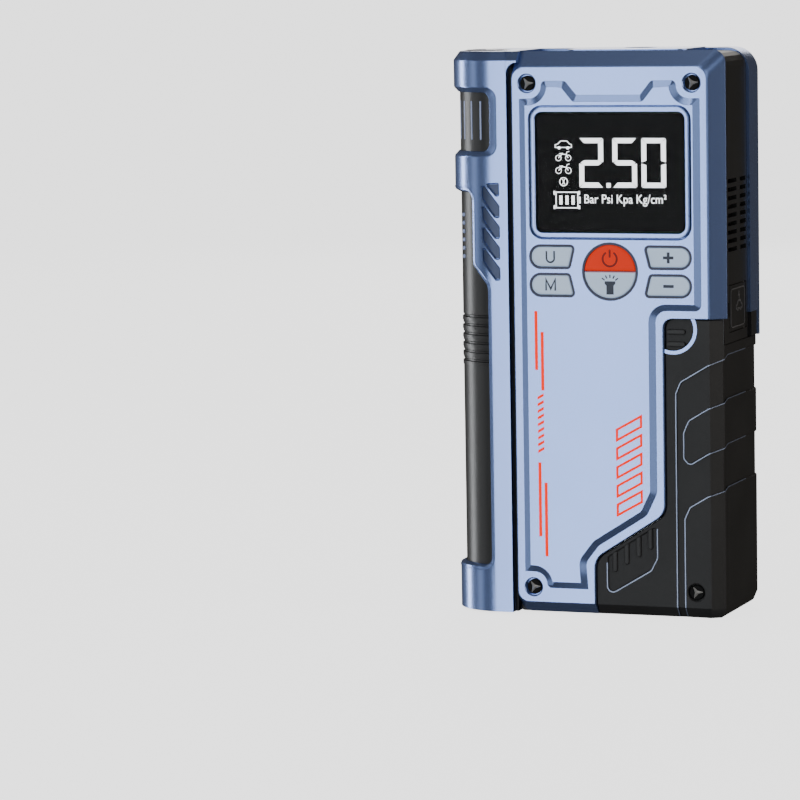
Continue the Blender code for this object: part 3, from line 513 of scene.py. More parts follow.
def make_materials():
    """Every finish: the usual look of each slot under its name, and the special ones."""
    coat = {"Coat Weight": 0.12, "Coat Roughness": 0.25}
    matt = shine(0.28)
    return {
        "slate_blue": surface(
            "slate_blue_paint", (0.225, 0.315, 0.62), (0.218, 0.307, 0.61),
            0.26, 0.012, 0.3, 0.25, 0.85, sockets=coat),
        # Darker slate laid on the floors of the column's slanted marks: painted shade in those
        # recesses.
        "recess_shade": surface(
            "slate_blue_painted_recess_shade", (0.045, 0.060, 0.115), (0.050, 0.066, 0.125),
            0.4, 0.03, 0.3, 0.6, 0.5),
        # Pale blue on the barrel's studs and in the head's slots: a painted glint and painted
        # highlight.
        "pale_glint": surface(
            "pale_blue_painted_glint", (0.42, 0.50, 0.78), (0.40, 0.48, 0.76),
            0.3, 0.03, 0.3, 0.6, 0.2),
        "black_plastic": surface(
            "black_plastic", (0.020, 0.020, 0.0205), (0.024, 0.024, 0.0245),
            0.44, 0.06, 0.16, 4.0, sockets=matt),
        "barrel": surface(
            "black_barrel", (0.006, 0.006, 0.006), (0.008, 0.008, 0.008),
            0.36, 0.03, 0.25, 0.8, sockets=shine(0.7)),
        "black_rubber": surface(
            "black_rubber", (0.019, 0.019, 0.0195), (0.024, 0.024, 0.0245),
            0.52, 0.06, 0.24, 7.0, sockets=matt),
        # Pale slate lines along the grip's pads and pockets: painted highlight on their step walls.
        "edge_highlight": surface(
            "painted_edge_highlight_line", (0.20, 0.24, 0.34), (0.23, 0.27, 0.38),
            0.35, 0.04, 0.3, 1.0, 0.6),
        # The pale caps glow faintly though they hold no lamp: painted light.
        "button_light": surface(
            "light_button_plastic", (0.66, 0.80, 1.0), (0.64, 0.78, 0.99),
            0.42, 0.04, 0.2, 2.0, sockets=glow(0.45, 0.68, 1.0, 0.14)),
        # The orange cap glows though it holds no lamp: painted light.
        "button_orange": surface(
            "orange_button_plastic", (0.90, 0.030, 0.003), (0.85, 0.027, 0.003),
            0.45, 0.04, 0.2, 2.0,
            sockets={**shine(0.12), **glow(1.0, 0.05, 0.005, 0.22)}),
        "orange_dark": surface(
            "orange_symbol", (0.22, 0.010, 0.004), (0.20, 0.009, 0.004),
            0.5, 0.03, 0.2, 1.0, sockets=matt),
        # Dark navy filling the gaps round the buttons: painted shade.
        "gap_shade": surface(
            "navy_painted_gap_shade", (0.006, 0.010, 0.050), (0.008, 0.012, 0.060),
            0.4, 0.05, 0.2, 2.0),
        "symbol": surface(
            "grey_symbol_ink", (0.055, 0.065, 0.095), (0.048, 0.057, 0.085),
            0.5, 0.04, 0.2, 1.0, sockets=matt),
        # The red print glows though it is no lamp: painted light.
        "red": surface(
            "red_print_painted_glow", (1.0, 0.016, 0.001), (0.95, 0.014, 0.001),
            0.5, 0.04, 0.2, 1.0, sockets={**shine(0.02), **glow(1.0, 0.02, 0.0, 0.85)}),
        "display_glass": surface(
            "display_glass", (0.0035, 0.0035, 0.0038), (0.0045, 0.0045, 0.005),
            0.10, 0.01, 8.0, 0.2, sockets={"Alpha": 0.25, **shine(0.08)}),
        "display_black": surface(
            "display_black", (0.0045, 0.0045, 0.0048), (0.0055, 0.0055, 0.006),
            0.32, 0.03, 0.3, 0.5, sockets=shine(0.03)),
        "digit": surface(
            "display_segment", (0.85, 0.87, 0.9), (0.8, 0.82, 0.86),
            0.5, 0.02, 0.4, 0.5, sockets=glow(0.95, 0.97, 1.0, 4.2)),
        "black_steel": surface(
            "black_oxide_steel", (0.030, 0.030, 0.032), (0.045, 0.045, 0.047),
            0.26, 0.06, 0.12, 2.0, 0.9),
        "screw_head": surface(
            "blackened_screw_head", (0.004, 0.004, 0.004), (0.006, 0.006, 0.006),
            0.5, 0.05, 0.12, 2.0, sockets=shine(0.08)),
        # Light grey on the screws' drive ridges: a painted glint.
        "screw_drive_glint": surface(
            "screw_drive_painted_glint", (0.34, 0.33, 0.31), (0.40, 0.39, 0.37),
            0.35, 0.08, 0.1, 2.0, 0.5),
        "steel": surface(
            "bare_steel", (0.50, 0.50, 0.50), (0.42, 0.42, 0.43),
            0.32, 0.08, 0.1, 3.0, 1.0, (1, 6, 6)),
        "alloy": surface(
            "cast_alloy", (0.56, 0.56, 0.57), (0.46, 0.46, 0.47),
            0.48, 0.08, 0.35, 14.0, 1.0),
        "brass": surface(
            "turned_brass", (0.72, 0.49, 0.19), (0.60, 0.39, 0.14),
            0.26, 0.06, 0.12, 2.0, 1.0, (1, 1, 8)),
        "copper": surface(
            "copper_strip", (0.76, 0.38, 0.24), (0.62, 0.29, 0.17),
            0.34, 0.08, 0.2, 3.0, 1.0),
        "reflector": surface(
            "reflector_chrome", (0.88, 0.88, 0.88), (0.84, 0.84, 0.85),
            0.07, 0.02, 1.2, 1.0, 1.0),
        "emboss": surface(
            "grey_emboss", (0.100, 0.102, 0.110), (0.120, 0.122, 0.130),
            0.5, 0.05, 0.2, 2.0),
        "clear_lens": surface(
            "clear_lens", (0.93, 0.90, 0.82), (0.90, 0.87, 0.80),
            0.06, 0.01, 2.0, 1.0, sockets={"Alpha": 0.35, "IOR": 1.49}),
        "led": surface(
            "led_phosphor", (0.90, 0.78, 0.36), (0.85, 0.72, 0.30),
            0.45, 0.05, 0.15, 3.0),
        "board": surface(
            "board_green", (0.015, 0.11, 0.05), (0.02, 0.15, 0.07),
            0.34, 0.06, 0.6, 8.0),
        "capacitor_wrap": surface(
            "capacitor_wrap", (0.015, 0.025, 0.11), (0.02, 0.03, 0.14),
            0.35, 0.05, 0.3, 3.0),
        "cell_foil": surface(
            "cell_foil", (0.60, 0.62, 0.64), (0.50, 0.52, 0.54),
            0.36, 0.08, 1.6, 60.0, 0.8),
    }


def paint_cad_nodes():
    """Procedural material on every CAD node that stays in view."""
    for subpart in frame["record"]["subparts"]:
        obj = frame["nodes"][subpart["node"]]
        obj.data.materials.clear()
        obj.data.materials.append(MATERIALS[subpart["material_slot"]])


# ---------------------------------------------------------------- front cover
def cover_corners(share=0.0):
    """Front cover seen from the front; share 1 is the foot of its chamfer, 0 the sunken border."""
    right = PANEL_RIGHT + (BOX_HIGH.x - PANEL_RIGHT) * share
    bottom = PANEL_BOTTOM + (BODY_FLOOR - PANEL_BOTTOM) * share
    top = PANEL_TOP + (BODY_TOP - PANEL_TOP) * share
    return [
        (PANEL_LEFT, bottom, 4.0), (PANEL_FOOT, bottom, 0.0), (PANEL_FOOT, 20.0, 6.0),
        (PANEL_STEP, 35.7, 6.0), (PANEL_STEP, SHOULDER, 3.0), (right, SHOULDER, 0.3),
        (right, top, 4.0), (PANEL_LEFT, top, 4.0),
    ]


def plateau_corners():
    """Middle line of the bevelled wall round the raised middle; it curves round three screws."""
    return [
        (-20.0, 16.1, 0.0), (-12.2, 16.1, 5.6), (-12.2, 10.7, 0.3),
        (-0.3, 10.7, 0.0), (-0.9, 19.0, 5.0), (4.0, 25.3, 4.0), (20.8, 35.9, 4.0),
        (24.2, 43.0, 4.0), (24.2, 104.9, 5.0), (40.0, 104.9, 1.0), (40.0, 172.7, 0.0),
        (31.9, 172.7, 5.6), (31.9, 178.6, 0.3), (25.2, 178.6, 0.5),
        (21.4, 173.9, 0.5), (-1.8, 173.9, 0.5), (-5.7, 178.6, 0.5), (-12.3, 178.6, 0.3),
        (-12.3, 172.7, 5.6), (-20.0, 172.7, 0.0),
    ]


def button_corners(left, right, bottom, top, slant, round_left):
    if round_left:
        return [(left, bottom, 3.2), (right + slant, bottom, 0.8),
                (right - slant, top, 0.8), (left, top, 3.2)]
    return [(left - slant, bottom, 0.8), (right, bottom, 3.2),
            (right, top, 3.2), (left + slant, top, 0.8)]


BUTTONS = {
    "unit_button": button_corners(-17.3, -3.5, 118.0, 124.7, -0.8, True),
    "mode_button": button_corners(-17.3, -3.5, 108.6, 115.2, 0.8, True),
    "plus_button": button_corners(23.4, 37.6, 118.1, 124.7, -0.8, False),
    "minus_button": button_corners(23.4, 37.6, 108.7, 115.2, 0.8, False),
}


def make_front_cover():
    """Front cover with rounded edges, bevelled raised middle, screw wells and button holes."""
    border = []
    for share, reach, y in ((0.0, -0.5, FRAME_FACE), (0.02, -0.14, FRAME_FACE + 0.12),
                            (0.12, 0.0, FRAME_FACE + 0.55), (0.93, 0.0, SKIRT_END - 0.55),
                            (1.0, 0.0, SKIRT_END - 0.25), (1.0, -0.2, SKIRT_END)):
        border += layers(cover_corners(share), [(reach, y)])
    bevel = [(1.25, FRAME_FACE + 0.5), (1.25, FRAME_FACE + 0.02), (1.15, FRAME_FACE - 0.06),
             (-0.85, PANEL_FACE + 0.1), (-1.0, PANEL_FACE)]
    bm = carve(loft(border), [loft(layers(plateau_corners(), bevel, 7))], "UNION")
    inner = plate(rounded(grown(cover_corners(), -2.2)), PANEL_FACE + 3.0, SKIRT_END + 1)
    window = rectangle(*DISPLAY, WINDOW_RADIUS)
    tools = [recess(grown(window, BEZEL + 0.3), PANEL_FACE, 6, 0.3)]
    tools += [recess(grown(corners, 0.35), PANEL_FACE, 6, 0.25, 6) for corners in BUTTONS.values()]
    radius = DIAL_R + 0.35
    tools.append(turned(DIAL_X, DIAL_Z, [(radius + 1, PANEL_FACE - 0.75), (radius + 0.25, PANEL_FACE),
                                         (radius, PANEL_FACE + 0.25), (radius, SKIRT_END)], 64))
    well = [(4.5, -1.2), (3.3, 0.0), (2.9, 0.4), (2.9, 1.6), (1.4, 1.6),
            (1.4, SKIRT_END + 1 - FRAME_FACE)]
    tools += [screw_well(*node_middle(name), FRAME_FACE, well) for name in COVER_SCREWS]
    bm = carve(bm, [inner, join(tools)])
    show("cover_front_shell", bm, "slate_blue", "front_cover")


def make_bezel():
    """Rounded ring round the display, with a shallow step inside."""
    profile = [(0.3, 4.2), (0.3, 0.25), (0.45, 0.05), (0.8, 0.0), (1.55, 0.0), (1.85, 0.1),
               (BEZEL, 0.4), (BEZEL, 3.3), (3.2, 3.3), (3.2, 4.2)]
    rings = layers(rectangle(*DISPLAY, WINDOW_RADIUS),
                   [(reach, PANEL_FACE + depth) for reach, depth in profile], 8)
    show("display_ring", loft(rings, closed=True), "slate_blue", "display_bezel")


# ---------------------------------------------------------------- buttons
def half_disc(inset, upper, gap=0.2):
    """Upper or lower half of the dial, drawn in by an inset, with a gap to the middle line."""
    radius = DIAL_R - inset
    tilt = math.degrees(math.asin((gap + inset) / radius))
    start = 0 if upper else 180
    return arc(DIAL_X, DIAL_Z, radius, start + tilt, start + 180 - tilt, 40)


def make_cap(name, x, z, rings, slot):
    """Button cap through its rings, with a stem behind it at (x, z) that presses the switch."""
    stem = turned(x, z, [(1.2, FLANGE_BACK), (1.2, node_box(name)[1].y)], 16)
    show(f"{name}_cap", join([loft(rings), stem]), slot, name, body=name)


def make_buttons():
    """Six caps with soft rounded edges, each held by a flange, and a dark ring of painted shade in the
    gap round each.
    """
    profile = [(-1.1, 0.0), (-0.55, 0.05), (-0.2, 0.2), (-0.03, 0.5), (0.0, 0.9)]
    for name, corners in BUTTONS.items():
        rings = layers(corners, [(reach, BUTTON_FACE + y) for reach, y in profile], 8)
        rings += layers(corners, [(0.0, BUTTON_BACK), (0.9, BUTTON_BACK), (0.9, FLANGE_BACK)], 8)
        middle = sum(corner[0] for corner in corners) / 4
        make_cap(name, middle, node_middle(name)[1], rings, "button_light")
        gap_shade_ring(f"{name}_gasket", *(rounded(grown(corners, reach), 8) for reach in (0.06, 0.80)))
    profile = [(0.9, 0.0), (0.45, 0.06), (0.15, 0.22), (0.0, 0.5), (0.0, BUTTON_BACK - BUTTON_FACE)]
    for name, upper, slot in (("power_button", True, "button_orange"),
                              ("light_button", False, "button_light")):
        rings = [at_y(half_disc(inset, upper), BUTTON_FACE + y) for inset, y in profile]
        flange = half_disc(-0.9, upper, 1.3)
        rings += [at_y(flange, BUTTON_BACK), at_y(flange, FLANGE_BACK)]
        z = DIAL_Z + (0.45 if upper else -0.45) * DIAL_R
        make_cap(name, DIAL_X, z, rings, slot)
    gap_shade_ring("dial_gap_shade_ring", *(circle(DIAL_X, DIAL_Z, DIAL_R + reach, 72) for reach in (0.06, 0.85)))


def gap_shade_ring(name, inner, outer):
    """Thin dark ring of painted shade in the gap between a button and the cover."""
    near, far = PANEL_FACE - 0.04, PANEL_FACE + 0.6
    rings = [at_y(inner, near), at_y(outer, near), at_y(outer, far), at_y(inner, far)]
    show(name, loft(rings, closed=True), "black_plastic", finish="gap_shade")


def make_symbols():
    """Letters U and M, plus, minus, power and lamp symbols, inked on the caps."""
    ink = (BUTTON_FACE - 0.035, BUTTON_FACE + 0.02)
    unit = [(-1.35, 1.9)] + arc(0, -0.55, 1.35, 180, 360, 12) + [(1.35, 1.9)]
    mode = [(-1.6, -1.85), (-1.6, 1.85), (0, -1.3), (1.6, 1.85), (1.6, -1.85)]
    plus = [(-0.48, -1.8), (0.48, -1.8), (0.48, -0.48), (1.8, -0.48), (1.8, 0.48), (0.48, 0.48),
            (0.48, 1.8), (-0.48, 1.8), (-0.48, 0.48), (-1.8, 0.48), (-1.8, -0.48), (-0.48, -0.48)]
    torch = [(-1.25, -2.4), (1.25, -2.4), (1.25, 0.5), (1.85, 1.2), (1.85, 2.0), (-1.85, 2.0),
             (-1.85, 1.2), (-1.25, 0.5)]
    power_z, torch_z = DIAL_Z + 4.2, DIAL_Z - 5.2
    power = [stroke(arc(DIAL_X, power_z, 2.45, 122, 418, 28), 0.62, *ink),
             stroke([(DIAL_X, power_z + 0.5), (DIAL_X, power_z + 3.1)], 0.62, *ink)]
    lamp_sign = [plate(moved(torch, DIAL_X, torch_z), *ink)]
    for degrees in (140, 115, 90, 65, 40):
        u, v = math.cos(math.radians(degrees)) * 1.15, math.sin(math.radians(degrees))
        ray = [(DIAL_X + reach * u, torch_z + 1.0 + reach * v) for reach in (2.1, 3.2)]
        lamp_sign.append(stroke(ray, 0.42, *ink))
    for name, shapes in (("unit", [stroke(moved(unit, -10.6, 121.4), 0.58, *ink)]),
                         ("mode", [stroke(moved(mode, -10.6, 111.9), 0.58, *ink)]),
                         ("plus", [plate(moved(plus, 30.3, 121.4), *ink)]),
                         ("minus", [tile(28.5, 111.45, 3.6, 1.0, *ink)])):
        show(f"{name}_symbol", join(shapes), "black_plastic", finish="symbol", body=f"{name}_button")
    show("power_symbol", join(power), "button_orange", finish="orange_dark", body="power_button")
    show("lamp_symbol", join(lamp_sign), "black_plastic", finish="symbol", body="light_button")


# ---------------------------------------------------------------- display
def segment_digit(x0, width, lit):
    """Seven-segment digit with mitred ends; lit lists the segments that glow, a to g."""
    z0, z1 = DIGIT_FOOT, DIGIT_FOOT + 16.4
    x1 = x0 + width
    zm = (z0 + z1) / 2
    gap, t = 0.22, 1.65
    cut = t * 0.9
    shapes = {
        "a": [(x0 + gap, z1), (x1 - gap, z1), (x1 - gap - cut, z1 - t), (x0 + gap + cut, z1 - t)],
        "d": [(x0 + gap + cut, z0 + t), (x1 - gap - cut, z0 + t), (x1 - gap, z0), (x0 + gap, z0)],
        "f": [(x0, zm + gap), (x0 + t, zm + gap + 0.5), (x0 + t, z1 - gap - cut), (x0, z1 - gap)],
        "e": [(x0, z0 + gap), (x0 + t, z0 + gap + cut), (x0 + t, zm - gap - 0.5), (x0, zm - gap)],
        "b": [(x1 - t, zm + gap + 0.5), (x1, zm + gap), (x1, z1 - gap), (x1 - t, z1 - gap - cut)],
        "c": [(x1 - t, z0 + gap + cut), (x1, z0 + gap), (x1, zm - gap), (x1 - t, zm - gap - 0.5)],
        "g": [(x0 + gap + 0.3, zm), (x0 + gap + cut, zm - t / 2), (x1 - gap - cut, zm - t / 2),
              (x1 - gap - 0.3, zm), (x1 - gap - cut, zm + t / 2), (x0 + gap + cut, zm + t / 2)],
    }
    return [shapes[letter] for letter in lit]


def car_icon(x, z, w):
    """Small car seen from the side: its body line and two wheels."""
    h = w * 0.42
    profile = [(0.0, 0.25), (0.0, 0.62), (0.16, 0.72), (0.34, 1.15), (0.72, 1.15), (0.86, 0.75),
               (1.0, 0.66), (1.0, 0.25)]
    wheels = [circle(x + w * share, z + h * 0.18, w * 0.09, 12) for share in (0.24, 0.77)]
    return [(x + w * u, z + h * v) for u, v in profile], wheels


def make_display():
    """Window, dark module and its glowing digits and icons."""
    window = [(-0.45, LENS_LOW.y), (-0.1, LENS_LOW.y + 0.12), (0.0, LENS_LOW.y + 0.4),
              (0.0, LENS_HIGH.y)]
    lens = loft(layers(rectangle(*DISPLAY, WINDOW_RADIUS), window, 8))
    show("display_window", lens, "display_glass", "display_lens")
    left, bottom, right, top = DISPLAY
    panel = rounded(rectangle(left + 0.3, bottom + 0.3, right - 0.3, top - 0.3, 1.8))
    show("display_panel", plate(panel, GLOW_FACE + GLOW_DEEP + 0.01, node_box("display_module")[1].y),
         "display_black", "display_module")

    mark = (GLOW_FACE, GLOW_FACE + GLOW_DEEP)
    digits = [tile(8.75, DIGIT_FOOT, 1.4, 1.5, *mark)]
    for x, width, lit in ((-0.65, 8.3, "abged"), (10.9, 8.4, "afgcd"), (20.9, 8.4, "abcdef")):
        digits += [plate(shape, *mark) for shape in segment_digit(x, width, lit)]
    show("display_digits", join(digits), "display_black", finish="digit")

    battery = [corner[:2] for corner in rectangle(-8.9, 137.6, -1.3, 142.8)]
    icons = [stroke(battery, 0.36, *mark, closed=True), tile(-0.95, 139.1, 0.6, 2.2, *mark)]
    icons += [tile(x, 138.7, 1.05, 3.0, *mark) for x in (-7.75, -5.62, -3.5)]
    icons += [tile(x, z, 0.55, 1.2, *mark) for x in (-9.75, -1.1) for z in (137.2, 142.0)]
    body, wheels = car_icon(-9.0, 157.1, 5.7)
    icons.append(stroke(body, 0.24, *mark, closed=True))
    icons += [plate(wheel, *mark) for wheel in wheels]
    for z, reach in ((153.1, 0.95), (148.9, 1.0)):
        icons += [stroke(circle(x, z + 1.1, reach, 16), 0.2, *mark, closed=True) for x in (-7.9, -4.5)]
        for line, width in (([(-7.9, 1.1), (-6.6, 2.4), (-5.2, 2.2), (-4.5, 1.1)], 0.24),
                            ([(-5.2, 2.2), (-4.9, 3.1), (-4.1, 3.3)], 0.2),
                            ([(-7.6, 2.5), (-6.4, 2.6)], 0.3)):
            icons.append(stroke(moved(line, 0, z), width, *mark))
    icons.append(stroke(circle(-6.2, 146.3, 1.35, 24), 0.3, *mark, closed=True))
    for x, start in ((-7.6, -42), (-4.8, 138)):
        icons.append(stroke(arc(x, 146.3, 1.3, start, start + 84, 8), 0.22, *mark))
    show("display_icons", join(icons), "display_black", finish="digit")


def make_units():
    """Row of unit names under the digits, scaled to its place on the display."""
    left, bottom, width, height = 1.0, 138.2, 28.4, 3.9
    curve = bpy.data.curves.new("unit_names", "FONT")
    curve.body = "Bar Psi Kpa Kg/cm²"
    curve.size = 1.0
    curve.resolution_u = 3
    obj = bpy.data.objects.new("unit_names", curve)
    bpy.context.scene.collection.objects.link(obj)
    bpy.context.view_layer.update()
    evaluated = obj.evaluated_get(bpy.context.evaluated_depsgraph_get())
    bm = bmesh.new()
    bm.from_mesh(evaluated.to_mesh())
    bpy.data.objects.remove(obj)
    xs = [vert.co.x for vert in bm.verts]
    ys = [vert.co.y for vert in bm.verts]
    x_scale = width / (max(xs) - min(xs))
    z_scale = height / (max(ys) - min(ys))
    for vert in bm.verts:
        vert.co = Vector((left + (vert.co.x - min(xs)) * x_scale, GLOW_FACE,
                          bottom + (vert.co.y - min(ys)) * z_scale))
    extruded = bmesh.ops.extrude_face_region(bm, geom=bm.faces[:])
    for item in extruded["geom"]:
        if isinstance(item, bmesh.types.BMVert):
            item.co.y += GLOW_DEEP
    bmesh.ops.recalc_face_normals(bm, faces=bm.faces)
    show("display_units", bm, "display_black", finish="digit")


# ---------------------------------------------------------------- prints and screws
def make_prints():
    """Red bars, tick marks and parallelograms printed on the cover."""
    ink = (PANEL_FACE - 0.03, PANEL_FACE + 0.03)
    prints = [tile(x, low, 1.05, high - low, *ink)
              for x, low, high in ((-16.5, 83.3, 103.1), (-14.4, 76.4, 96.1), (-15.8, 27.0, 52.1),
                                   (-13.7, 20.3, 45.3))]
    tick = [(-15.8, 0.0), (-13.6, 1.3), (-13.6, 2.3), (-15.8, 1.0)]
    prints += [plate(moved(tick, 0, 55.2 + i * 2.25), *ink) for i in range(9)]
    outline = [(11.9, 60.3), (20.3, 65.0), (20.3, 68.5), (11.9, 63.8)]
    prints += [stroke(moved(outline, 0, -6.3 * i), 0.8, *ink, closed=True) for i in range(5)]
    show("cover_prints", join(prints), "button_orange", finish="red")


def make_screws():
    """Black screws, each with a three-armed ridge in its drive, coloured light grey as a painted
    glint.
    """
    for name, face in [(name, FRAME_FACE) for name in COVER_SCREWS] + [("grip_screw", GRIP_LOW.y)]:
        x, z = node_middle(name)
        top = face + 0.7
        head = turned(x, z, [(2.3, top), (2.55, top + 0.2), (2.6, top + 0.8), (1.1, top + 0.8),
                             (1.1, face + 12.4)])
        show(f"{name}_head", head, "black_steel", name, finish="screw_head")
        arms = [ridge_arm(Vector((x, z)), math.radians(120 * k + 4), top) for k in range(3)]
        show(f"{name}_drive", join(arms), "black_steel", finish="screw_drive_glint")


def ridge_arm(spot, angle, base):
    """Tapered arm with a roof-shaped ridge, pointing away from a screw's middle."""
    u = Vector((math.cos(angle), math.sin(angle)))
    v = Vector((-u.y, u.x))
    rings = []
    for reach, half, height in ((-0.1, 0.75, 0.45), (2.1, 0.12, 0.12)):
        centre = spot + u * reach
        left, right = centre + v * half, centre - v * half
        rings.append([(left.x, base + 0.02, left.y), (centre.x, base - height, centre.y),
                      (right.x, base + 0.02, right.y)])
    return loft(rings)


# ---------------------------------------------------------------- torch column
def column_s(degrees):
    """Distance along the column's wall at an angle from the front, in degrees."""
    return STRIP_RIGHT - COLUMN_X + math.radians(degrees) * COLUMN_R


def ledge_cutter(inner, outer):
    """Cutter for a window whose ledge slopes from an outer outline down to its inner corners."""
    edge = 0.25
    rings = layers(outer, [(1.2, -1.0), (edge, 0.0), (-edge, 0.12)], 8)
    rings += layers(inner, [(0.1, COLUMN_WALL - 0.25), (0.0, COLUMN_WALL - 0.05),
                            (0.0, COLUMN_WALL + 1)], 8)
    return loft(rings)


def make_column():
    """Column wall carved flat and bent round, with its slanted relief marks, their floors in painted
    shade, and its bead.
    """
    points = [(STRIP_RIGHT, BOX_LOW.y)] + arc(COLUMN_X, COLUMN_Y, COLUMN_R, 270, 180, 36)
    wrap = Wrap(points + [(BOX_LOW.x, COLUMN_HIGH.y)], 1)
    rear = wrap.find(BOX_LOW.x, 0.0)
    side = column_s(3.5)
    window = rectangle(side, 156.3, rear, 176.0, 3.0)
    ledge = rectangle(side - 3.0, 154.5, rear + 1.8, 177.8, 4.0)
    narrow, wide = column_s(8), column_s(27)
    opening = [(narrow, 16.6, 2.5), (rear, 16.6, 3.0), (rear, 142.4, 3.0), (wide, 142.4, 2.5),
               (wide, 118.0, 4.0), (narrow, 111.0, 4.0)]
    tools = [ledge_cutter(window, ledge), ledge_cutter(opening, grown(opening, 1.1))]
    marks = slanted_marks()
    tools += [recess(mark, 0.0, 1.1, 0.4, 3) for mark in marks]
    # The marks' floors get the darker slate: painted shade in the recesses.
    floors = [loft(layers(mark, [(-0.12, 0.85), (-0.12, 1.15)], 3)) for mark in marks]
    show("column_mark_shade_floors", wrap.bend(join(floors)), "slate_blue", finish="recess_shade")
    profile = [(0.0, 0.05), (0.08, -0.12), (0.3, -0.2), (0.52, -0.12), (0.6, 0.05)]
    bead = loft(layers(grown(opening, 1.35), profile, 8), closed=True)
    show("column_opening_bead", wrap.bend(bead), "slate_blue")
    slab = box(0, 0, BODY_FLOOR, wrap.length, COLUMN_WALL, COLUMN_SHOULDER)
    show("column_wall", wrap.bend(carve(slab, tools)), "slate_blue", "column_shell")


def slanted_marks():
    """Bent stripes and one small triangle in the strip beside the opening, as (s, z) corners."""
    top = 134.5
    triangle = [(7.0, 10.9), (3.3, 11.1), (3.3, 7.2), (4.1, 7.2), (7.0, 10.5)]
    stripe = [(9.3, 10.1), (8.3, 10.1), (3.2, 3.6), (3.2, 0.0), (4.5, 0.0), (9.25, 6.2)]
    marks = [[(s, top + z, 0.25) for s, z in triangle]]
    marks += [[(s, top - 7.0 * i + z, 0.3) for s, z in stripe] for i in range(4)]
    return [anticlockwise(mark) for mark in marks]


def column_plan(inset):
    """Full outline of the column from above, drawn in by an inset on its outer sides."""
    front = BOX_LOW.y + inset
    right = STRIP_RIGHT - inset * 0.4
    points = [(right, front)] + arc(COLUMN_X, COLUMN_Y, COLUMN_R - inset, 270, 180, 36)
    return points + [(BOX_LOW.x + inset, COLUMN_HIGH.y), (COLUMN_HIGH.x, COLUMN_HIGH.y),
                     (COLUMN_HIGH.x, front + 3.0), (right, front + 3.0)]


def make_column_ends():
    """Chamfered top with the lamp hole, the floor, and the strip's inner return wall."""
    low, high = BODY_FLOOR, COLUMN_SHOULDER
    cap = loft([at_z(column_plan(inset), z)
                for inset, z in ((0.0, high), (0.12, high + 0.25), (1.9, BODY_TOP - 0.35),
                                 (2.2, BODY_TOP - 0.08), (2.45, BODY_TOP))])
    lens_low, lens_high = node_box("torch_lens")
    cx, cy = (lens_low.x + lens_high.x) / 2, (lens_low.y + lens_high.y) / 2
    radius = (lens_high.x - lens_low.x) / 2
    hole = loft([at_z(circle(cx, cy, radius + reach, 48), z)
                 for reach, z in ((0.3, high - 2), (0.3, BODY_TOP - 0.4), (0.7, BODY_TOP + 0.2))])
    show("column_cap", carve(cap, [hole]), "slate_blue")

    curve, rim = 3.6, 3.2                # corner between strip and display cover, and its depth
    corner = [(STRIP_RIGHT - 0.3, high), (STRIP_RIGHT - 0.3, high - 4.2)]
    corner += arc(STRIP_RIGHT + curve, high - 4.2, curve, 180, 90, 10)
    web = plate(corner + [(STRIP_RIGHT + curve, high)], BOX_LOW.y, BOX_LOW.y + rim)
    slope = [(BOX_LOW.y, high), (SKIRT_END, high), (SKIRT_END, BODY_TOP), (BOX_LOW.y + rim, BODY_TOP)]
    bridge = plate(slope, STRIP_RIGHT - 2.0, STRIP_RIGHT + curve, at_x)
    show("column_corner", join([web, bridge]), "slate_blue")

    floor = plate(column_plan(0.5), low, low + 2.0, at_z)
    lip = box(STRIP_RIGHT - 2.0, BOX_LOW.y + 0.4, low, STRIP_RIGHT, SKIRT_END, high)
    show("column_floor", join([floor, lip]), "slate_blue")
    groove = box(STRIP_RIGHT - 1.0, BOX_LOW.y + 3.0, low, COLUMN_HIGH.x, SKIRT_END, high)
    show("column_groove_floor", groove, "slate_blue", finish="black_plastic")


# ---------------------------------------------------------------- torch barrel
def barrel_rings(profile, flat):
    """D-shaped rings of the barrel through (radius, z) pairs; flat is the x of its flat side."""
    rings = []
    for radius, z in profile:
        half = math.degrees(math.acos((flat - COLUMN_X) / radius))
        rings.append(at_z(arc(COLUMN_X, COLUMN_Y, radius, half, 360 - half, 64), z))
    return rings


def barrel_bore(low, high):
    radius = BARREL_R - BARREL_WALL
    return loft(barrel_rings([(radius, low.z - 1), (radius, high.z + 1)], high.x - 1.6))


def upright_slot(u, low, high, radius):
    """Upright slot outline with round ends."""
    return arc(u, high, radius, 0, 180, 8) + arc(u, low, radius, 180, 360, 8)


def make_barrel():
    """Torch barrel with rounded rings and a row of small studs whose pale blue is a painted glint."""
    low, high = node_box("torch_barrel")
    r = BARREL_R
    profile = [(r - 0.4, low.z), (r, low.z + 0.4)]
    for i in range(6):
        base = 83.6 + 3.0 * i
        profile += [(r, base), (r + 0.2, base + 0.35), (r + 0.2, base + 1.5),
                    (r - 0.3, base + 1.8), (r - 0.3, base + 2.2), (r, base + 2.5)]
    profile += [(r, high.z - 0.5), (r - 0.4, high.z)]
    body = carve(loft(barrel_rings(profile, high.x)), [barrel_bore(low, high)])
    show("barrel_body", body, "black_plastic", "torch_barrel", finish="barrel")
    studs = []
    angle = math.radians(52)
    for i in range(6):
        centre = Vector((COLUMN_X - r * math.sin(angle), COLUMN_Y - r * math.cos(angle),
                         134.7 - 2.82 * i))
        bm = bmesh.new()
        bmesh.ops.create_uvsphere(bm, u_segments=16, v_segments=10, radius=0.72,
                                  matrix=Matrix.Translation(centre))
        studs.append(bm)
    show("barrel_studs", join(studs), "steel", finish="pale_glint")


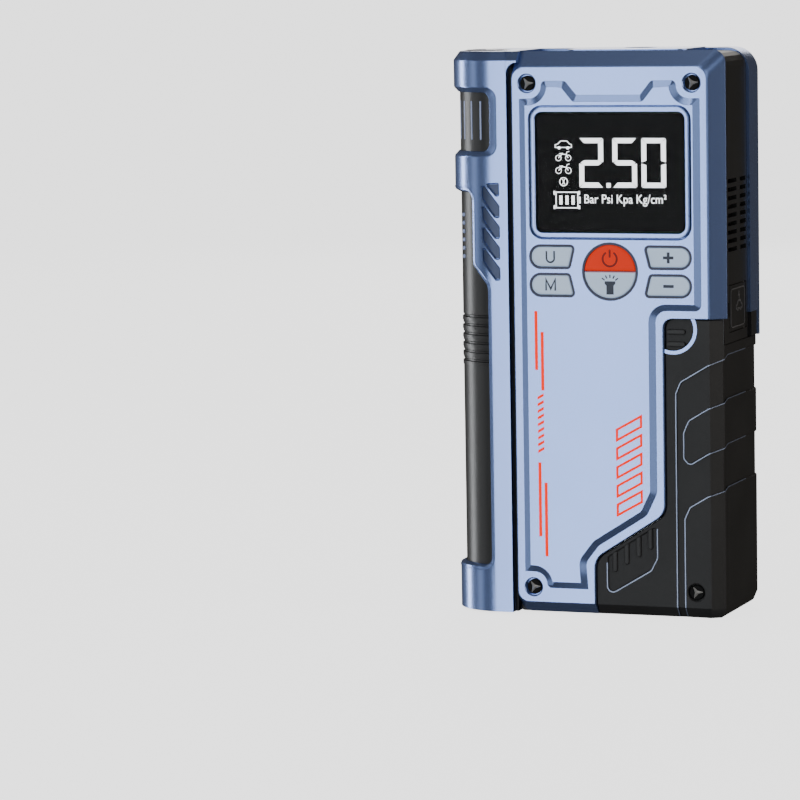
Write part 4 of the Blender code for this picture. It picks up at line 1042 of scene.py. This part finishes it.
def make_barrel_head():
    """Head of the torch with four upright slots and a raised pale bar in each, the bar a painted
    highlight on the slot's walls.
    """
    low, high = node_box("torch_head")
    r = BARREL_R
    head = loft(barrel_rings([(r - 0.3, low.z), (r, low.z + 0.3), (r, high.z - 0.3),
                              (r - 0.3, high.z)], high.x))
    around = Wrap(arc(COLUMN_X, COLUMN_Y, r, 285, 165, 60), 1)
    slots, bars = [], []
    for degrees in (16.0, 30.5, 46.0, 61.0):
        middle = around.length * (degrees + 15.0) / 120.0
        slots.append(plate(upright_slot(middle, 160.3, 172.9, 0.62), -0.6, 1.0))
        profile = [(0.15, -0.12), (0.3, 0.0), (0.42, 0.25), (0.42, 1.1)]
        bars.append(loft([at_y(upright_slot(middle, 160.4, 172.8, half), y) for half, y in profile]))
    head = carve(carve(head, [barrel_bore(low, high)]), [around.bend(join(slots))])
    show("barrel_head", head, "black_plastic", "torch_head", finish="barrel")
    show("barrel_slot_highlights", around.bend(join(bars)), "slate_blue", finish="pale_glint")


# ---------------------------------------------------------------- side grip
def grip_s(x):
    """Distance along the grip's wall of a point x on its front."""
    return x - GRIP_LEFT


def grip_wrap():
    """Outer wall of the grip from the front leaf round the side to the back leaf."""
    side, front, back = GRIP_HIGH.x, GRIP_LOW.y, GRIP_HIGH.y
    points = [(GRIP_LEFT, front), (43.6, front), (side, GRIP_BEND_Y)]
    points += arc(side - 5.5, back - 5.5, 5.5, 0, 90, 10)
    return Wrap(points + [(34.0, back)], -1)


def make_grip():
    """Hand grip carved flat with its pads and pocket ribs, then bent round."""
    wrap = grip_wrap()
    s = grip_s
    bend = wrap.find(GRIP_HIGH.x, GRIP_BEND_Y)
    low, high = GRIP_LOW.z, GRIP_HIGH.z
    outline = [
        (0.0, low, 0.0), (wrap.length, low, 0.0), (wrap.length, GRIP_SIDE_TOP, 0.0),
        (bend + 1.0, GRIP_SIDE_TOP, 0.5), (bend - 0.4, high, 0.5), (s(PANEL_STEP + 0.3), high, 2.8),
        (s(PANEL_STEP + 0.3), 35.5, 6.0), (0.0, 19.8, 6.0),
    ]
    slab = loft(layers(outline, [(-0.25, 0.0), (0.0, 0.2), (0.0, GRIP_WALL)]))
    far = wrap.length - 6.0
    near = bend + 4.0
    field = [(s(32.0), low - 3, 0.0), (far, low - 3, 0.0), (far, 88.5, 1.0), (near, 88.5, 2.0),
             (s(43.0), 85.4, 2.0), (s(33.6), 79.9, 3.0), (s(32.0), 76.0, 2.0)]
    middle = [(far - 2, 59.0, 1.0), (far - 2, 74.0, 1.0), (near, 74.0, 2.0), (s(43.0), 71.2, 2.0),
              (s(36.2), 67.1, 2.5), (s(34.4), 63.0, 2.0), (s(34.4), 54.4, 2.2), (s(36.4), 52.3, 1.6),
              (s(43.0), 56.2, 2.0), (near, 59.0, 2.0)]
    lower = [(far - 2, low, 0.0), (far - 2, 44.5, 1.0), (near, 44.5, 2.0), (s(42.8), 41.9, 2.0),
             (s(36.4), 38.1, 2.5), (s(34.6), 34.2, 2.0), (s(34.6), low, 0.0)]
    pads = [loft(layers(anticlockwise(pad), [(-0.35, 0.0), (0.0, 0.3), (0.0, 0.7)]))
            for pad in (middle, lower)]
    bm = carve(carve(slab, [recess(field, 0.0, 0.55, 0.35)]), pads, "UNION")
    x, z = node_middle("grip_screw")
    well = screw_well(s(x), z, 0.0, [(4.3, -1.2), (3.2, 0.0), (2.9, 0.3), (2.9, 1.5), (1.4, 1.5),
                                     (1.4, 3)])
    pocket = [(s(7.7), 8.0, 1.0), (s(22.7), 17.0, 2.0), (s(24.8), 21.0, 2.0), (s(24.8), 31.5, 1.0),
              (s(7.7), 20.5, 1.0)]
    x, z = GRIP_POCKET
    round_pocket = turned(s(x), z, [(7.4, -1), (7.4, 0.0), (7.1, 0.3), (7.1, 0.9)], 40)
    bm = carve(bm, [well, recess(pocket, 0.0, 0.7, 0.3, 4), round_pocket])
    show("grip_wall", wrap.bend(bm, GRIP_TUCK), "black_rubber", "side_grip")

    ribs = []
    for x, foot in ((10.0, 16.4), (14.1, 19.1), (18.3, 21.7), (22.4, 24.4)):
        top = min(21.8 + (x - 7.7) * 0.64, foot + 5.5)
        ribs.append(capsule(s(x), foot, s(x), top, 0.95, 0.72, 0.12))
    for z in (96.6, 92.5):
        ribs.append(capsule(s(29.4), z, s(34.4), z, 0.85, 0.92, 0.1))
    show("grip_ribs", wrap.bend(join(ribs)), "black_plastic")


def capsule(u0, v0, u1, v1, radius, deep, high):
    """Rounded rib lying on a flat strip."""
    angle = math.degrees(math.atan2(v1 - v0, u1 - u0))
    rings = []
    for share, depth in ((0.45, high), (0.85, high + 0.12), (1.0, high + 0.35), (1.0, deep)):
        outline = arc(u1, v1, radius * share, angle - 90, angle + 90, 10)
        outline += arc(u0, v0, radius * share, angle + 90, angle + 270, 10)
        rings.append(at_y(outline, depth))
    return loft(rings)


def make_grip_lines():
    """Thin pale lines along the edges of the pads and pockets: painted highlight on their step walls.
    """
    wrap = grip_wrap()
    s = grip_s
    bend = wrap.find(GRIP_HIGH.x, GRIP_BEND_Y)
    near, far = bend + 4.0, bend + 26
    paths = [
        (-0.05, [(far, 88.7), (near, 88.7), (s(43.0), 85.6), (s(33.5), 80.0), (s(31.8), 76.0),
                 (s(31.8), 1.2)]),
        (0.02, [(far, 74.0), (near, 74.0), (s(43.0), 71.2), (s(36.2), 67.1), (s(34.4), 63.0),
                (s(34.4), 54.4), (s(36.4), 52.2), (s(43.0), 56.2), (near, 59.0), (far, 59.0)]),
        (0.02, [(far, 44.5), (near, 44.5), (s(42.8), 41.9), (s(36.4), 38.1), (s(34.6), 34.2),
                (s(34.6), 1.2)]),
        (-0.05, [(s(7.4), 18.6), (s(7.4), 7.2), (s(22.8), 16.4), (s(25.0), 20.6), (s(25.0), 30.6)]),
    ]
    lines = [stroke(open_rounded(path, 2.0), 0.34, depth, depth + 0.12) for depth, path in paths]
    show("grip_edge_highlights", wrap.bend(join(lines), GRIP_TUCK), "slate_blue", finish="edge_highlight")
    x, z = GRIP_POCKET
    # The pale crescent round the round pocket is a painted highlight on the pocket's wall.
    ring = stroke(arc(s(x), z, 7.75, 62, -112, 30), 1.2, -0.05, 0.15)
    show("grip_pocket_highlight", wrap.bend(ring), "slate_blue")


# ---------------------------------------------------------------- rear cover and port cover
def make_rear_cover():
    """Rear tray with fully rounded edges, a shallow label field and grip ridges on its back."""
    left, right = REAR_LOW.x, REAR_HIGH.x
    low, high = REAR_LOW.z, REAR_HIGH.z
    front, back = REAR_LOW.y, REAR_HIGH.y
    radius = 4.5
    profile = [(-0.15, front), (0.0, front + 0.3)]
    for degrees in range(0, 91, 10):
        angle = math.radians(degrees)
        profile.append((radius * (math.cos(angle) - 1), back - radius * (1 - math.sin(angle))))
    corners = [(left, low, 5.5), (right, low, 5.5), (right, high, 8.0), (left, high, 5.5)]
    bm = loft(layers(corners, profile, 10))

    tucked, sunk = 45.4, back - 2.2      # side and back of the tray where the grip lies over it
    leaf_edge = 33.7
    beyond = 60.0
    under_grip = rounded([(leaf_edge, sunk, 0), (tucked, sunk, 3.2), (tucked, 0, 0), (beyond, 0, 0),
                          (beyond, 40, 0), (leaf_edge, 40, 0)])
    step = box(tucked + 0.5, 0, 92.0, beyond, 18.8, 100.7)
    hollow = rounded([(left + 2, low + 2, 5), (tucked - 2, low + 2, 1), (tucked - 2, 102.7, 0),
                      (right - 2, 102.7, 1), (right - 2, high - 2, 5), (left + 2, high - 2, 5)])
    bm = carve(bm, [plate(under_grip, -2, 92.3, at_z), step, plate(hollow, front - 1, sunk - 2)])

    field_left, field_right = -34, 24
    tools = [recess(rectangle(field_left, 96, field_right, 150, 4.0), back, 0.5, 0.35, 6, out=1)]
    for i in range(6):
        z = 40.0 + 6.5 * i
        ridge = rectangle(field_left, z, field_right, z + 2.2, 1.05)
        tools.append(recess(ridge, back, 0.7, 0.35, out=1))
    well = [(4.4, -1.0), (3.4, 0.0), (2.9, 0.4), (2.9, 1.8), (1.4, 1.8), (1.4, 8)]
    for i in range(4):
        tools.append(screw_well(*node_middle(f"rear_screw_{i + 1}"), back, well, inwards=-1))
    show("cover_rear_shell", carve(bm, [join(tools)]), "slate_blue", "rear_cover")
    block = box(tucked + 0.55, 11.6, 92.4, right - 0.35, 18.75, 100.6)
    show("rear_corner_block", block, "black_plastic")


def make_port_icons():
    """Embossed car-and-spark sign on the port cover, and the line along its border."""
    raised = (PORT_HIGH.x + 0.22, PORT_HIGH.x - 0.1)
    y, z = -4.6, 102.2
    body, wheels = car_icon(y, z, 7.0)
    spark = moved([(3.6, 6.6), (2.7, 5.2), (4.2, 5.2), (3.3, 3.9)], y, z)
    border = rounded(rectangle(PORT_LOW.y + 1.3, PORT_LOW.z + 1.3, PORT_HIGH.y - 2.6,
                               PORT_HIGH.z - 1.3, 1.5), 5)
    shapes = [stroke(body, 0.5, *raised, closed=True, at=at_x),
              stroke(spark, 0.4, *raised, at=at_x),
              stroke(border, 0.35, *raised, closed=True, at=at_x)]
    shapes += [plate(wheel, *raised, at_x) for wheel in wheels]
    show("port_cover_sign", join(shapes), "black_rubber", finish="emboss", body="port_cover")


# ---------------------------------------------------------------- studio
FLOOR_DROP = 0.0002                      # the floor lies this far below the sole, in metres
COOL = (0.92, 0.96, 1.0)
WARM = (1.0, 0.93, 0.85)
LAMPS = (                                # azimuth, elevation, distance, width, height, watts, colour
    ("key_softbox", -16, 4, 0.75, 0.21, 0.95, 3.0, COOL),
    ("left_strip", -95, 2, 0.9, 0.13, 1.0, 5.0, (0.95, 0.97, 1.0)),
    ("left_bevel_light", -60, 3, 0.9, 0.22, 0.9, 0.55, COOL),
    ("right_bevel_light", 27, 4, 0.9, 0.34, 0.9, 0.9, COOL),
    ("upper_bevel_light", -17, 40, 0.9, 0.5, 0.30, 0.8, COOL),
    ("top_softbox", 10, 75, 1.4, 0.9, 0.9, 0.8, WARM),
    ("right_fill", 84, 10, 1.6, 0.6, 1.0, 10.0, WARM),
    ("rear_fill", 190, 20, 1.6, 0.6, 0.9, 5.0, (1.0, 0.97, 0.92)),
)


def towards(azimuth, elevation):
    """Direction to a lamp or camera; azimuth is measured from the front towards the right."""
    return Vector((math.sin(azimuth) * math.cos(elevation), -math.cos(azimuth) * math.cos(elevation),
                   math.sin(elevation)))


def make_floor():
    """Pale floor that looks white to the camera, throws no shadow and is not mirrored."""
    mesh = bpy.data.meshes.new("floor")
    bm = bmesh.new()
    bmesh.ops.create_grid(bm, x_segments=8, y_segments=8, size=30.0)
    bm.to_mesh(mesh)
    bm.free()
    floor = bpy.data.objects.new("floor", mesh)
    floor.location = (0, 0, -FLOOR_DROP)
    pale = surface("pale_floor", (0.30, 0.30, 0.305), (0.29, 0.29, 0.295), 0.7, 0.05, 3.0, 5.0,
                   sockets={**shine(0.1), "Emission Color": (1.0, 1.0, 1.0, 1.0)})
    tree = pale.node_tree
    sight = add_node(tree, "LightPath")
    lift = add_node(tree, "Math", {1: 2.2}, {0: sight.outputs["Is Camera Ray"]})
    lift.operation = "MULTIPLY"
    tree.links.new(lift.outputs["Value"], tree.nodes["Principled BSDF"].inputs["Emission Strength"])
    mesh.materials.append(pale)
    floor.visible_glossy = False
    floor.visible_shadow = False
    bpy.context.scene.collection.objects.link(floor)


def make_world():
    """Weak warm light from all round, and plain white where the camera looks past the floor."""
    world = bpy.data.worlds.new("studio")
    bpy.context.scene.world = world
    world.use_nodes = True
    tree = world.node_tree
    ambient = tree.nodes["Background"]
    ambient.inputs["Color"].default_value = (1.0, 0.93, 0.84, 1.0)
    ambient.inputs["Strength"].default_value = 0.065
    seen = add_node(tree, "Background", {"Color": (1.0, 1.0, 1.0, 1.0), "Strength": 2.4})
    path = add_node(tree, "LightPath")
    mix = add_node(tree, "MixShader", wires={"Fac": path.outputs["Is Camera Ray"],
                                             1: ambient.outputs["Background"],
                                             2: seen.outputs["Background"]})
    tree.links.new(mix.outputs["Shader"], tree.nodes["World Output"].inputs["Surface"])


def make_lamps():
    """Rectangular softboxes that face the pack."""
    target = Vector((0, 0, 0.095))
    for name, azimuth, elevation, distance, width, height, power, colour in LAMPS:
        light = bpy.data.lights.new(name, "AREA")
        light.shape = "RECTANGLE"
        light.size = width
        light.size_y = height
        light.energy = power
        light.color = colour
        obj = bpy.data.objects.new(name, light)
        direction = towards(math.radians(azimuth), math.radians(elevation))
        obj.location = target + direction * distance
        obj.rotation_euler = direction.to_track_quat("Z", "Y").to_euler()
        obj.visible_camera = False
        bpy.context.scene.collection.objects.link(obj)


def make_camera():
    """Camera to the right of the front and a little above it, turned slightly about its axis."""
    azimuth, elevation, roll = math.radians(20.28), math.radians(6.37), math.radians(-0.98)
    distance = 1.423
    aim = Vector((-0.0741, 0.0, 0.0691))
    back = towards(azimuth, elevation)
    right = Vector((math.cos(azimuth), math.sin(azimuth), 0.0))
    up = back.cross(right)
    turned_right = right * math.cos(roll) + up * math.sin(roll)
    turned_up = up * math.cos(roll) - right * math.sin(roll)
    rotation = Matrix((turned_right, turned_up, back)).transposed()
    camera = bpy.data.cameras.new("camera")
    camera.sensor_width = 36.0
    camera.lens = 185.2
    camera.clip_end = 20.0
    obj = bpy.data.objects.new("camera", camera)
    obj.matrix_world = Matrix.Translation(aim + back * distance) @ rotation.to_4x4()
    bpy.context.scene.collection.objects.link(obj)
    bpy.context.scene.camera = obj


def main():
    MATERIALS.update(make_materials())
    paint_cad_nodes()
    for make in (make_front_cover, make_bezel, make_display, make_units, make_buttons, make_symbols,
                 make_prints, make_screws, make_column, make_column_ends, make_barrel,
                 make_barrel_head, make_grip, make_grip_lines, make_rear_cover, make_port_icons,
                 make_floor, make_world, make_lamps, make_camera):
        make()


main()
